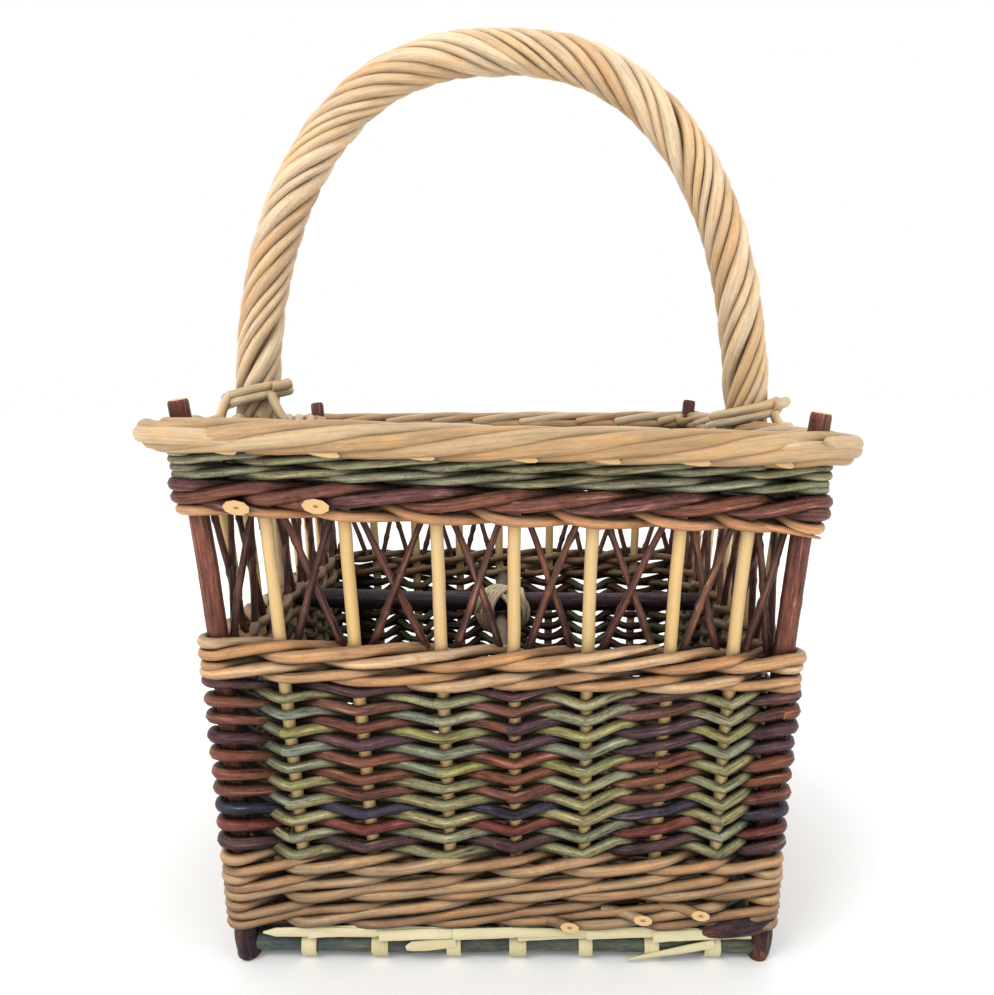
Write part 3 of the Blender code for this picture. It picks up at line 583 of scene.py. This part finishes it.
def bodyRod(rods, kind, row, first, last, level):
    # Each float dips over its upright and climbs behind the next, more steeply towards a wall's right end
    points = []
    size = body["thick"][kind] * rods.dice.uniform(0.94, 1.08)
    for step in range(first, last + 1):
        inFront, corner = (step + kind) % 2 == 1, step % 8 == 0
        thick = size * (1 + body["taper"] * (0.5 - (step - first) / (last - first)))
        height = level + rods.dice.uniform(-1, 1) * body["jitter"]
        bay, before = body["bays"][step % 8], body["bays"][(step - 1) % 8]
        dip, near, clear = body["dip"] * body["floatDip"][step % 8], body["bend"], wall["stake"] + size * 0.62
        if corner:
            marks = ((0, 0, (wall["post"] + size) * (1 if inFront else -1)),)
            thick *= body["cornerSwell"]
        elif inFront:
            marks = ((-near, -0.8 * dip + 0.2 * before[1], clear * 0.95), (0, -dip, clear),
                     (near, -0.8 * dip + 0.2 * bay[0], clear * 0.95), (0.5, bay[0], body["between"]))
        else:
            deep = -0.85 * dip - body["tuck"]
            marks = ((-body["behind"], deep + 0.15 * before[0], -clear),
                     (body["behind"], deep + 0.15 * bay[1], -clear), (0.5, bay[1], body["between"]))
        for shift, rise, out in marks:
            points += [(*spot, thick) for spot in passing(step + shift, height + rise, out)]
    palette = body["purples"] if kind else body["greens"]
    colours = (rods.dice.choice(palette), rods.dice.choice(palette))
    if kind and row in body["oddRods"]:
        colours = body["oddRods"][row]
    return points, *colours


# Waling: several rods at once, each in front of all but one upright and then behind the next

wales = {
    "bottom_wale": {
        "name": "bottomWale", "courses": (4, 4, 3), "finish": "tanWillow", "slot": "tan_willow", "taper": 0.14,
        "colours": ("#C69C70", "#D0A97C", "#B58660", "#D4B084", "#BB8A60", "#C89C70"),
        "start": 19, "full": 1.12, "wild": 0.0009, "raise": 0.0020,
        "butts": ((0.0325, 0.0205, 0.0026), (0.0672, 0.0242, 0.0026), (0.0945, 0.0265, 0.0026)),
    },
    "middle_wale": {
        "name": "middleWale", "courses": (3, 3), "finish": "tanWillow", "slot": "tan_willow", "taper": 0.14,
        "colours": ("#D6B084", "#C89A6C", "#D0A478", "#DDBA90", "#BE8C5E"),
        "start": 20, "full": 1.14, "wild": 0.0009, "raise": -0.0014, "butts": (),
        "tip": ((0.028, 0.1490, 0.0080, 0.0024), (0.052, 0.1530, 0.0090, 0.0020), (0.0745, 0.1575, 0.0075, 0.0008)),
    },
    "purple_wale": {
        "name": "purpleWale", "courses": (3,), "finish": "purpleBark", "slot": "purple_bark_willow", "taper": 0.12,
        "colours": ("#623A36", "#744434", "#563840", "#7C4C38"), "start": 21, "full": 1.17, "wild": 0.0005, "raise": 0,
        "butts": ((-0.1200, 0.2178, 0.0036), (-0.0836, 0.2204, 0.0036)),
    },
    "green_wale": {
        "name": "greenWale", "courses": (3, 3), "finish": "greenBark", "slot": "green_bark_willow", "taper": 0.12,
        "colours": ("#949072", "#8A8A70", "#A09A70", "#86826A", "#989478"), "start": 22, "full": 1.2, "wild": 0.0005,
        "raise": 0, "butts": (),
    },
}


def weaveWales():
    for number, (node, wale) in enumerate(wales.items()):
        low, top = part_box(node)[0].z + wale["raise"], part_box(node)[1].z
        lines = sum(count - 1 for count in wale["courses"])
        thick = (top - low) / lines / 2
        rods = Rods(31 + number)
        base = low
        for course, count in enumerate(wale["courses"]):
            middle = base + thick * (count - 1)
            base += thick * 2 * (count - 1)
            for index in range(count):
                walingRod(rods, wale, thick, middle, count, index, wale["start"] + course * 5)
        for along, level, size in wale["butts"]:
            path = ((-0.019, 0.0014, 0.0040), (-0.008, 0.0008, 0.0066), (0, 0, 0.0116))
            points = [(*onWall(0, along + x, level + z, out), size) for x, z, out in path]
            rods.add(points, rods.dice.choice(wale["colours"]), step=0.002, ends=0.95, facing=(0, -1, 0))
        if "tip" in wale:
            looseTip(rods, wale["tip"], wale["colours"][0])
        layRods(wale["name"], rods, wale["finish"], (node,), swell=0.08)


def walingRod(rods, wale, thick, middle, count, index, start):
    points = []
    first = start + index
    size = thick * wale["full"] * rods.dice.uniform(0.9, 1.08)
    steps = count * math.ceil(32 / count)
    for step in range(first, first + steps + 1):
        phase = (step - first) % count
        share = (step - first) / steps
        rise = thick * 2 * (phase - count / 2)
        out = (uprightSize(step) + size) * (1 if phase else -1)
        level = middle + rods.dice.uniform(-1, 1) * wale["wild"]
        marks = ((0, rise),) if phase else ((-0.22, thick * (count - 2.3)), (0.22, -thick * (count - 2.3)))
        if step % 8 == 0 and not phase:
            marks = ((0, 0),)
        for shift, lift in marks:
            spots = passing(step + shift, level + lift, out)
            points += [(*spot, size * (1 + wale["taper"] * (0.5 - share))) for spot in spots]
    rods.add(points, rods.dice.choice(wale["colours"]), rods.dice.choice(wale["colours"]))


# Pairing: two rods that take turns in front and twist round each other between the uprights

pairing = {
    "thick": 0.0027, "raise": -0.0004, "lean": 0.0048, "leanPower": 1.4, "snap": 0.148,
    "colours": ("#C8946A", "#C08A5E"), "marks": (0, 0.3, 0.42, 0.5, 0.58, 0.7),
    "tip": ((0.118, 0.2170, 0.0050, 0.0021), (0.134, 0.2140, 0.0062, 0.0016), (0.148, 0.2110, 0.0068, 0.0006)),
}


def weavePairing():
    low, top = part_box("pairing_rod_outer")[0].z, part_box("pairing_rod_outer")[1].z
    level, rods = (low + top) / 2 + pairing["raise"], Rods(51)
    for index in (0, 1):
        points = []
        for whole in range(20, 53):
            for mark in pairing["marks"]:
                step = whole + mark
                angle = math.pi * (step + index - pairing["snap"] * math.sin(math.tau * step))
                reach = uprightSize(whole) + pairing["thick"] if mark == 0 else pairing["thick"] * 1.9
                out = reach * math.cos(angle)
                # the rod that comes forward wraps over the other
                height = level + pairing["lean"] * max(0, -math.sin(angle)) ** pairing["leanPower"]
                points += [(*spot, pairing["thick"]) for spot in passing(step, height, out)]
        rods.add(points, pairing["colours"][index])
    looseTip(rods, pairing["tip"], pairing["colours"][1])
    layRods("pairingRods", rods, "tanWillow", ("pairing_rod_outer", "pairing_rod_inner"))


# Uprights

uprights = {
    "postColour": "#7C4C3C", "postTop": "#744438", "stakeColours": ("#E6C084", "#E2C088", "#E4C48E", "#DFBA7A"),
    "footColour": "#3A2630", "footThick": 0.0057,
    "bottomShift": (0.0037, 0.0051, 0.0027, 0.0016, 0.002, -0.0022, -0.0005),
}


def standUprights():
    rods = Rods(61)
    foot = wall["footLevel"]
    levels = (0, foot, 0.06, 0.11, 0.154, 0.2125, 0.245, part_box("corner_post_front_left")[1].z)
    for side in range(4):
        top = rods.dice.uniform(-0.001, 0.001)
        points = [(*onWall(side, -halfWidth(max(level, foot)), max(level, foot), 0)[:2], level, wall["post"])
                  for level in (*levels[:-1], levels[-1] + top)]
        rods.add(points, uprights["postColour"], uprights["postTop"], ends=0.88)
        shoe = [(*onWall(side, -halfWidth(foot) + x, level, out), uprights["footThick"] * thick)
                for x, level, out, thick in ((0.0005, 0.0205, 0.0005, 0.95), (0, 0.0130, 0.0012, 1.05),
                                             (0.0010, 0.0060, 0.0010, 1.04), (0.0022, 0.0004, 0.0006, 0.96))]
        rods.add(shoe, uprights["footColour"], step=0.002, ends=0.85)
    wedge = [(*onWall(0, along, level, out), thick) for along, level, out, thick in
             ((0.0950, 0.0140, 0.0040, 0.0030), (0.1060, 0.0172, 0.0052, 0.0046), (0.1180, 0.0200, 0.0054, 0.0056),
              (0.1275, 0.0205, 0.0020, 0.0056))]
    rods.add(wedge, uprights["footColour"], step=0.003, ends=0.7)
    names = [f"corner_post_{place}" for place in ("front_left", "front_right", "back_right", "back_left")]
    layRods("cornerPosts", rods, "brownBark", names, sides=14, swell=0.05, uneven=0.03)
    for side, name in enumerate(wallNames):
        rods = Rods(65 + side)
        for index, share in enumerate(wallShares[side]):
            shift = uprights["bottomShift"][index] if side == 0 else 0
            points = []
            for level in (0.013, 0.03, 0.06, 0.10, 0.154, 0.185, 0.2125, 0.243):
                lean = shift * max(0, 1 - level / 0.15)
                points.append((*onWall(side, share * halfWidth(level) + lean, level, 0), wall["stake"]))
            rods.add(points, rods.dice.choice(uprights["stakeColours"]), rods.dice.choice(uprights["stakeColours"]))
        nodes = [f"stake_{name}_{index + 1}" for index in range(7)]
        layRods(f"{name}Stakes", rods, "paleStake", nodes, sides=12, swell=0.03, uneven=0.03)


# Base: bark rails with the stakes' split feet strapped round them, and their tails laid along the top

straps = {
    "wide": 0.0074, "thick": 0.0015, "tailWide": 0.0048, "tailThick": 0.0012, "tailBays": 2.3, "bay": 0.033,
    "startLevel": 0.0185, "startOut": 0.0032, "colours": ("#EADFB2", "#EDE2B6", "#E2D7A4", "#F0E5BC"),
    # along the front wall, height and width of three ragged peels
    "peels": (
        ((-0.0460, 0.0072, 0.0022), (-0.0430, 0.0082, 0.0048), (-0.0360, 0.0086, 0.0052), (-0.0220, 0.0100, 0.0040)),
        ((-0.1150, 0.0150, 0.0008), (-0.1090, 0.0150, 0.0042), (-0.0900, 0.0152, 0.0046), (-0.0600, 0.0148, 0.0040)),
        ((0.0600, 0.0022, 0.0005), (0.0720, 0.0040, 0.0022), (0.0860, 0.0066, 0.0036), (0.1020, 0.0098, 0.0042)),
    ),
}


def sweepRibbon(points, normals, wide, thick):
    # A flat strip with rounded edges along its points; normals give its flat side's direction
    points, normals = np.asarray(points, float), np.asarray(normals, float)
    along = np.gradient(points, axis=0)
    along /= np.linalg.norm(along, axis=1)[:, None]
    across = np.cross(along, normals)
    across /= np.linalg.norm(across, axis=1)[:, None]
    facing = np.cross(across, along)
    corners = ((-0.5, -0.28), (-0.44, -0.5), (0.44, -0.5), (0.5, -0.28),
               (0.5, 0.28), (0.44, 0.5), (-0.44, 0.5), (-0.5, 0.28))
    wide = np.broadcast_to(wide, len(points))
    rings = [points + across * (wide * a)[:, None] + facing * (thick * b) for a, b in corners]
    vertices = np.stack(rings, 1).reshape(-1, 3)
    count, sides = len(points), len(corners)
    faces = [(r * sides + k, r * sides + (k + 1) % sides, (r + 1) * sides + (k + 1) % sides, (r + 1) * sides + k)
             for r in range(count - 1) for k in range(sides)]
    faces += [tuple(range(sides))[::-1], tuple((count - 1) * sides + k for k in range(sides))]
    length = lengthsAlong(points)
    place = [(wide[r] * a, thick * b, length[r]) for r in range(count) for a, b in corners]
    return vertices, faces, np.array(place)


def makeRibbons(name, ribbons, finish, colours, seed):
    dice = random.Random(seed)
    vertices, faces, places, shades = [], [], [], []
    for ribbon in ribbons:
        spots, sides, place = ribbon
        at = sum(len(one) for one in vertices)
        vertices.append(spots)
        faces += [tuple(corner + at for corner in face) for face in sides]
        places.append(place + (0, 0, dice.random() * 7))
        shades.append(np.tile((*tint(dice.choice(colours)), 1.0), (len(spots), 1)))
    mesh = bpy.data.meshes.new(name)
    mesh.from_pydata(np.concatenate(vertices).tolist(), [], faces)
    writeAttributes(mesh, (
        ("rodPlace", "FLOAT_VECTOR", np.concatenate(places)),
        ("rodColour", "FLOAT_COLOR", np.concatenate(shades)),
        ("cutEnd", "FLOAT", np.zeros(sum(len(one) for one in vertices))),
    ))
    mesh.shade_smooth()
    mesh.set_sharp_from_angle(angle=math.radians(50))
    mesh.materials.append(willowFinish(finish))
    return seat(bpy.data.objects.new(name, mesh), ())


def makeStraps():
    ribbons, tails, dice = [], [], random.Random(71)
    reach = rail["thick"] + straps["thick"] * 0.6
    for side in range(4):
        for index, share in enumerate(wallShares[side]):
            shift = uprights["bottomShift"][index] if side == 0 else 0
            along = share * halfWidth(rail["level"]) + shift
            wide = straps["wide"] * dice.uniform(0.88, 1.15)
            points, normals = [onWall(side, along, straps["startLevel"], straps["startOut"])], [outward(side)]
            for angle in range(60, -241, -20):
                turn = math.radians(angle)
                spot = onWall(side, along, rail["level"], reach * math.cos(turn))
                spot[2] = rail["level"] + reach * math.sin(turn)
                points.append(spot)
                normal = outward(side) * math.cos(turn)
                normals.append(normal + np.array([0, 0, math.sin(turn)]))
            ribbons.append(sweepRibbon(points, normals, wide, straps["thick"]))
            tails.append(tailRibbon(side, index, along, dice))
    for peel in straps["peels"]:
        spots = [onWall(0, along, level, reach + 0.0008) for along, level, _ in peel]
        normals = [outward(0)] * len(peel)
        tails.append(sweepRibbon(spots, normals, np.array([wide for _, _, wide in peel]), straps["tailThick"] * 0.7))
    makeRibbons("footStraps", ribbons, "paleStake", straps["colours"], 72)
    makeRibbons("strapTails", tails, "paleStake", straps["colours"], 73)


def tailRibbon(side, index, along, dice):
    edge = halfWidth(wall["footLevel"]) - wall["post"]
    end = min(along + straps["tailBays"] * straps["bay"] * dice.uniform(0.8, 1.15), edge)
    spots, widths = [], []
    count = 12
    for step in range(count):
        share = step / (count - 1)
        level = 0.0148 + 0.0008 * math.sin(share * math.pi) + dice.uniform(-1, 1) * 0.0002 - 0.001 * (index % 2)
        out = 0.0052 + 0.0012 * (1 - share) + 0.0006 * (index % 3)
        spots.append(onWall(side, along + (end - along) * share, level, out))
        widths.append(straps["tailWide"] * (1 - 0.45 * share ** 2))
    normals = [outward(side) + np.array([0, 0, 0.35])] * count
    return sweepRibbon(spots, normals, np.array(widths), straps["tailThick"])


def layRails():
    rods = Rods(75)
    for side in range(4):
        edge = halfWidth(wall["footLevel"]) - 0.003
        colours = (("#56666B", "#66705A"), ("#5F6E66", "#6B7352"), ("#59655F", "#6A6E50"), ("#5F6E66", "#56666B"))[side]
        points = [(*onWall(side, share * edge, rail["level"] + 0.0006 * math.sin(share * 5), 0), rail["thick"])
                  for share in (-1, -0.6, -0.2, 0.2, 0.6, 1)]
        rods.add(points, *colours)
    layRods("baseRails", rods, "greyBark", [f"base_rail_{name}" for name in wallNames],
            sides=14, swell=0.05, uneven=0.05)


# Floor: rods woven across thick floor sticks

floorMat = {
    "sticks": 7, "tuck": 0.0035, "rod": 0.0021, "stick": 0.0026,
    "colours": ("#C9A878", "#B98F62", "#D3B488", "#BFA06E"),
}


def weaveFloor():
    low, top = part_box("floor_mat")
    level, reach, rods = (low.z + top.z) / 2, top.x + floorMat["tuck"], Rods(81)
    places = np.linspace(-0.9, 0.9, floorMat["sticks"]) * reach
    for place in places:
        points = [(place, share * reach, level, floorMat["stick"]) for share in (-1, -0.3, 0.3, 1)]
        rods.add(points, "#D9C08C", step=0.02)
    count = int(reach * 2 / (floorMat["rod"] * 2.05))
    for row in range(count):
        y = -reach + floorMat["rod"] + row * (2 * reach - 2 * floorMat["rod"]) / (count - 1)
        points = [(-reach, y, level, floorMat["rod"])]
        for index, place in enumerate(places):
            over = 1 if (row + index) % 2 else -1
            points.append((place, y, level + over * (floorMat["stick"] * 0.6), floorMat["rod"]))
        points.append((reach, y, level, floorMat["rod"]))
        rods.add(points, rods.dice.choice(floorMat["colours"]), step=0.008)
    layRods("wovenFloor", rods, "tanWillow", ("floor_mat",), sides=6, swell=0.04)


# Openwork: one cross of thin brown rods in each bay

openwork = {
    "thick": 0.0018, "behind": -0.0042, "colours": ("#6E4638", "#5D3B34", "#7A5440", "#5C3C38", "#74503F"),
    "knotSpacing": 0.022, "low": 0.1465, "top": 0.2185, "bow": 0.0016, "inset": 0.0052,
}


def crossRods():
    for side, name in enumerate(wallNames):
        rods = Rods(91 + side)
        stops = (-1, *wallShares[side], 1)
        low, top, inset = openwork["low"], openwork["top"], openwork["inset"]
        for bay in range(8):
            for leaning in (0, 1):
                if side == 0 and bay == 0 and leaning:
                    continue
                first, last = stops[bay + leaning], stops[bay + 1 - leaning]
                points = []
                behind = openwork["behind"] - leaning * openwork["thick"] * 0.9
                bow = rods.dice.uniform(-openwork["bow"], openwork["bow"])
                for share in (0, 0.2, 0.4, 0.6, 0.8, 1):
                    level = low + (top - low) * share
                    half = halfWidth(level)
                    start, end = first * half, last * half
                    start += inset * (-1 if leaning else 1)
                    end += inset * (1 if leaning else -1)
                    along = start + (end - start) * share + bow * math.sin(math.pi * share)
                    thick = openwork["thick"] * (1.12 - 0.28 * share)
                    points.append((*onWall(side, along, level, behind), thick))
                colours = rods.dice.choice(openwork["colours"]), rods.dice.choice(openwork["colours"])
                rods.add(points, *colours, step=0.0016)
        layRods(f"{name}CrossRods", rods, "brownBark", (f"lattice_{name}",),
                sides=8, swell=0.35, spacing=openwork["knotSpacing"], waver=0.0006)


# Border: thick peeled rods that start under the rim's outer edge, rise over it and end inside

border = {
    "thick": 0.0037, "core": 0.0040, "colours": ("#D6B890", "#E2C8A2", "#C9A478", "#DABB90", "#C29A6C"),
    # bays from the start, how far out of the wall's middle, height over the rim's foot
    "stroke": ((-0.4, 0.0060, 0.0016), (0.1, 0.0112, 0.0020), (0.7, 0.0142, 0.0036), (1.3, 0.0146, 0.0064),
               (1.9, 0.0128, 0.0094), (2.6, 0.0072, 0.0112), (3.4, 0.0008, 0.0106), (4.2, -0.0036, 0.0066)),
    "cornerReach": 0.0038, "stubs": (0.5, 1.75, 2.7, 3.93, 4.93, 5.85, 7.13, 7.94), "stub": 0.0027,
    # along the wall, out of its middle, height: the loop that turns back behind a corner post
    "loop": ((0.108, 0.0105, 0.0080), (0.128, 0.0140, 0.0076), (0.146, 0.0148, 0.0078), (0.1585, 0.0125, 0.0082),
             (0.1625, 0.0055, 0.0090), (0.1600, -0.0025, 0.0100), (0.1520, -0.0070, 0.0104), (0.1400, -0.0075, 0.0086)),
    "wrap": ((-1.7, 0.0085, 0.0092), (-1.0, 0.0140, 0.0088), (-0.4, 0.0180, 0.0074), (0, 0.0186, 0.0066),
             (0.4, 0.0172, 0.0062), (1.0, 0.0135, 0.0056), (1.7, 0.0095, 0.0040)),
    "loopThick": 0.0031, "wrapThick": 0.0042,
}


def weaveBorder():
    low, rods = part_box("border")[0].z, Rods(101)
    colours = border["colours"]
    for start in range(32):
        size = border["thick"] * rods.dice.uniform(0.9, 1.12)
        begin = start + rods.dice.uniform(-0.12, 0.12) + 0.35
        proud = rods.dice.uniform(-0.0008, 0.0006)
        points = []
        for bays, out, rise in border["stroke"]:
            step = begin + bays
            whole = round(step / 8) * 8
            if abs(step - whole) < 0.45:
                step = whole
            thick = size * (1.05 - 0.16 * bays / 4.2)
            reach = 0
            if out > 0.01:
                reach = border["cornerReach"] * max(0, 1 - abs(step - whole) / 1.2) * min(1, rise / 0.007) ** 3
            spots = passing(step, low + rise, out + reach + proud + rods.dice.uniform(-1, 1) * 0.0003)
            points += [(*spot, thick) for spot in spots]
        rods.add(points, rods.dice.choice(colours), rods.dice.choice(colours))
    for out, rise in ((0.0065, 0.0048), (-0.001, 0.0045)):
        points = []
        for step in range(33):
            points += [(*spot, border["core"]) for spot in passing(step, low + rise, out)]
        rods.add(points, "#BE9A6C")
    for side in range(4):
        for mark in border["stubs"][:8 if side == 0 else 7]:
            step = side * 8 + mark + (rods.dice.uniform(-0.2, 0.2) if side else 0)
            path = ((-0.5, 0.0056, 0.0100), (-0.12, 0.0032, 0.0130), (0.1, 0.0012, 0.0152))
            points = [(*passing(step + shift, low + rise, out)[-1], border["stub"]) for shift, rise, out in path]
            rods.add(points, rods.dice.choice(colours), step=0.002, facing=outward(side))
        if side < 3:
            points = [(*onWall(side, along, low + rise, out), border["loopThick"])
                      for along, out, rise in border["loop"]]
        else:
            points = [(*spot, border["wrapThick"]) for shift, out, rise in border["wrap"]
                      for spot in passing(32 + shift, low + rise, out)]
        rods.add(points, colours[1], colours[0])
    layRods("borderRods", rods, "peeledWillow", ("border",), sides=12, swell=0.04)


# Handle: rods wound side by side round a bow whose legs run down inside the side walls

handle = {
    "halfSpan": 0.151, "rise": 0.2265, "power": 2.35, "foot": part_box("border")[1].z, "y": wall["legY"],
    "rods": 9, "ring": 0.0104, "angle": 26, "wander": 0.16, "core": 0.0083, "apexSwell": 0.07, "sink": 0.007,
    "evenSize": 0.0031, "evened": 0.7, "waves": 34, "footShare": 0.05, "footRing": (0.93, 0.07),
    "colours": ("#EFCFA6", "#F5DAB4", "#E3BC8E", "#F0D2AC", "#EEC88E", "#DBB48C"),
}


def archPlaces(count):
    angles = np.linspace(math.pi, 0, 600)
    across = np.sign(np.cos(angles)) * np.abs(np.cos(angles)) ** (2 / handle["power"])
    up = np.abs(np.sin(angles)) ** (2 / handle["power"])
    fine = np.stack([across * handle["halfSpan"], up * handle["rise"]], 1)
    lengths = lengthsAlong(fine)
    wanted = np.linspace(0, lengths[-1], count)
    flat = np.stack([np.interp(wanted, lengths, fine[:, axis]) for axis in (0, 1)], 1)
    slope = np.gradient(flat, axis=0)
    slope /= np.linalg.norm(slope, axis=1)[:, None]
    slope[0], slope[-1] = (0, 1), (0, -1)
    return flat, slope, wanted


def windHandle():
    rods = Rods(111)
    flat, slope, wanted = archPlaces(200)
    widths = [rods.dice.uniform(0.6, 1.5) for _ in range(handle["rods"])]
    total = sum(widths)
    lead = math.tau * handle["ring"] / math.tan(math.radians(handle["angle"]))
    turned = 0
    for width in widths:
        middle = (turned + width / 2) / total * math.tau
        turned += width
        size = width / total * math.pi * handle["ring"] * math.cos(math.radians(handle["angle"])) * 1.1
        points = []
        for place, way, length in zip(flat, slope, wanted):
            share = length / wanted[-1]
            angle = middle + math.tau * length / lead
            angle += handle["wander"] * math.sin(length * handle["waves"] + middle * 0.5)
            ring = handle["ring"] + (handle["evenSize"] - size) * handle["evened"]
            ring = ring * (1 + handle["apexSwell"] * math.sin(math.pi * share))
            narrow, widen = handle["footRing"]
            ring *= narrow + widen * min(1, min(share, 1 - share) / handle["footShare"])
            x = place[0] - way[1] * math.cos(angle) * ring
            z = handle["foot"] + place[1] + way[0] * math.cos(angle) * ring
            points.append((x, handle["y"] - math.sin(angle) * ring, z, size))
        points.insert(0, (points[0][0], points[0][1], points[0][2] - handle["sink"], points[0][3]))
        points.append((points[-1][0], points[-1][1], points[-1][2] - handle["sink"], points[-1][3]))
        rods.add(points, rods.dice.choice(handle["colours"]), rods.dice.choice(handle["colours"]), step=0.004)
    nodes = [f"handle_strand_{index + 1}" for index in range(5)]
    layRods("handleTwist", rods, "handleWillow", nodes,
            sides=12, swell=0.05, waver=0.0005, uneven=0.09)
    rods = Rods(115)
    points = [(place[0], handle["y"], handle["foot"] + place[1], handle["core"]) for place in flat[::6]]
    rods.add(points, "#B08A5C")
    for side in (-1, 1):
        levels = (wall["legTip"] + 0.001, 0.125, 0.154, 0.19, 0.2125, 0.245, 0.262)
        leg = [(side * halfWidth(level), handle["y"], level, 0.0026 + 0.0013 * min(1, (level - 0.1) / 0.05))
               for level in levels]
        rods.add(leg, "#DCC08A", "#D9B98C")
    layRods("handleBow", rods, "peeledWillow", ("handle_bow",), sides=12, swell=0.03)


binding = {
    "thick": 0.0030, "wide": 0.0192, "deep": 0.0162, "turns": 1.45, "climb": 0.0046, "tilt": 0.0040,
    "lift": {"Left": 0.0100, "Right": 0.0015},
    # out from the handle's middle to its right and front, height over the ring's foot
    "knob": ((0.0130, -0.0150, 0.0060), (0.0180, -0.0120, 0.0068), (0.0225, -0.0085, 0.0085)),
    "legs": (
        ((-0.0120, -0.012, 0.004), (-0.0150, -0.014, -0.001), (-0.0172, -0.0165, -0.008), (-0.0178, -0.0175, -0.018)),
        ((0.0125, -0.015, 0.004), (0.0160, -0.0175, -0.004), (0.0200, -0.0185, -0.011), (0.0225, -0.018, -0.018)),
    ),
}


def bindFeet():
    for name, side, seed in (("Left", -1, 121), ("Right", 1, 122)):
        rods, points = Rods(seed), []
        middle, foot, thick = side * handle["halfSpan"], handle["foot"], binding["thick"]
        base = foot + binding["lift"][name]
        count = int(binding["turns"] * 15)
        for step in range(count + 1):
            angle = math.radians(step * 24 - 170)
            rise = binding["climb"] * step / 15 + binding["tilt"] * math.cos(angle)
            points.append((middle + binding["wide"] * math.cos(angle), handle["y"] + binding["deep"] * math.sin(angle),
                           base + rise, thick))
        rods.add(points, "#EDD5AC", "#E2C496", step=0.002)
        knob = [(middle + x, handle["y"] + y, base + z + 0.002, thick * 1.05) for x, y, z in binding["knob"]]
        rods.add(knob, "#E6CBA0", step=0.002, ends=0.9)
        for leg in binding["legs"][side > 0:]:
            points = [(middle + x, handle["y"] + y, max(base + z, foot - 0.003), thick) for x, y, z in leg]
            rods.add(points, "#EAD0A6", step=0.002)
        node = f"handle_binding_{name.lower()}"
        layRods(f"footBinding{name}", rods, "peeledWillow", (node,), sides=12, swell=0.08)


# Cross bars inside and the lashing where they meet

crossing = {
    "bar": 0.0058, "pole": 0.0043, "lash": 0.0015, "wide": 0.0145, "turns": 5, "diagonal": (0.74, 0.68),
    "sides": (0.0078, 0.0112, 0.0142), "sideLean": 0.14,
}


def layCrossBars():
    low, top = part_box("cross_bar")
    barLevel = (low.z + top.z) / 2
    rods = Rods(131)
    rods.add([(share * top.x, 0, barLevel, crossing["bar"] * (1 - 0.08 * share)) for share in (-1, -0.4, 0.2, 1)],
             "#3B2F3C", "#4A3440")
    layRods("crossBar", rods, "purpleBark", ("cross_bar",), sides=16, swell=0.04)
    low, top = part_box("cross_pole")
    poleLevel = (low.z + top.z) / 2
    rods = Rods(132)
    rods.add([(0, share * top.y, poleLevel, crossing["pole"]) for share in (-1, -0.3, 0.4, 1)], "#8A7468", "#7C6A60")
    layRods("crossPole", rods, "greyBark", ("cross_pole",), sides=14, swell=0.05)
    rods, lash = Rods(133), crossing["lash"]
    middle, tall = (barLevel + poleLevel) / 2, (barLevel - poleLevel) / 2 + (crossing["bar"] + crossing["pole"]) / 2
    for lean in (-1, 1):
        for turn in range(crossing["turns"]):
            points, shift = [], (turn - (crossing["turns"] - 1) / 2) * lash * 2.1
            wide = crossing["wide"] + rods.dice.uniform(-0.0012, 0.0012)
            high = tall + lash * (1 + 1.3 * (lean > 0))
            for step in range(17):
                angle = math.tau * step / 16 + turn
                flat = wide * math.cos(angle)
                x, y = (flat - lean * shift) * crossing["diagonal"][0], (lean * flat + shift) * crossing["diagonal"][1]
                points.append((x, y, middle + high * math.sin(angle), lash))
            rods.add(points, "#E0CDAA", "#EAD9B8", step=0.002)
    for place in (*crossing["sides"], *(-x for x in crossing["sides"])):
        points, around = [], crossing["bar"] + lash
        for step in range(15):
            angle = math.tau * step / 14 + place * 90
            x = place * (1 - crossing["sideLean"] * math.sin(angle))
            points.append((x, around * math.cos(angle), barLevel + around * math.sin(angle), lash))
        rods.add(points, "#E4D2B0", step=0.002)
    layRods("centreLashing", rods, "handleWillow", ("centre_lashing",), sides=8, swell=0.05)


def layStudioFloor():
    size = studio["floorSize"]
    mesh = bpy.data.meshes.new("studioFloor")
    corners = [(x * size, y * size, -studio["floorDrop"]) for x, y in ((-1, -1), (1, -1), (1, 1), (-1, 1))]
    mesh.from_pydata(corners, [], [(0, 1, 2, 3)])
    material = bpy.data.materials.new("palePaper")
    material.use_nodes = True
    bench = Bench(material.node_tree)
    shader = material.node_tree.nodes["Principled BSDF"]
    place = bench.node("ShaderNodeTexCoord", {}, {}, out="Object")
    cloud = bench.noise(place, 3.0, 3.0)
    colour = bench.blendColours(cloud, (0.96, 0.96, 0.96, 1), (0.99, 0.99, 0.985, 1))
    material.node_tree.links.new(colour.socket, shader.inputs["Base Color"])
    shader.inputs["Roughness"].default_value = studio["paperRough"]
    shader.inputs["Emission Color"].default_value = (1, 1, 1, 1)
    shader.inputs["Emission Strength"].default_value = studio["paperGlow"]
    mesh.materials.append(material)
    floor = bpy.data.objects.new("studioFloor", mesh)
    bpy.context.scene.collection.objects.link(floor)


makeCamera()
makeLights()
layStudioFloor()
print("camera, lights and floor stand")
standUprights()
layRails()
makeStraps()
weaveFloor()
weaveBody()
weaveWales()
weavePairing()
crossRods()
weaveBorder()
windHandle()
bindFeet()
layCrossBars()
print("basket is woven")
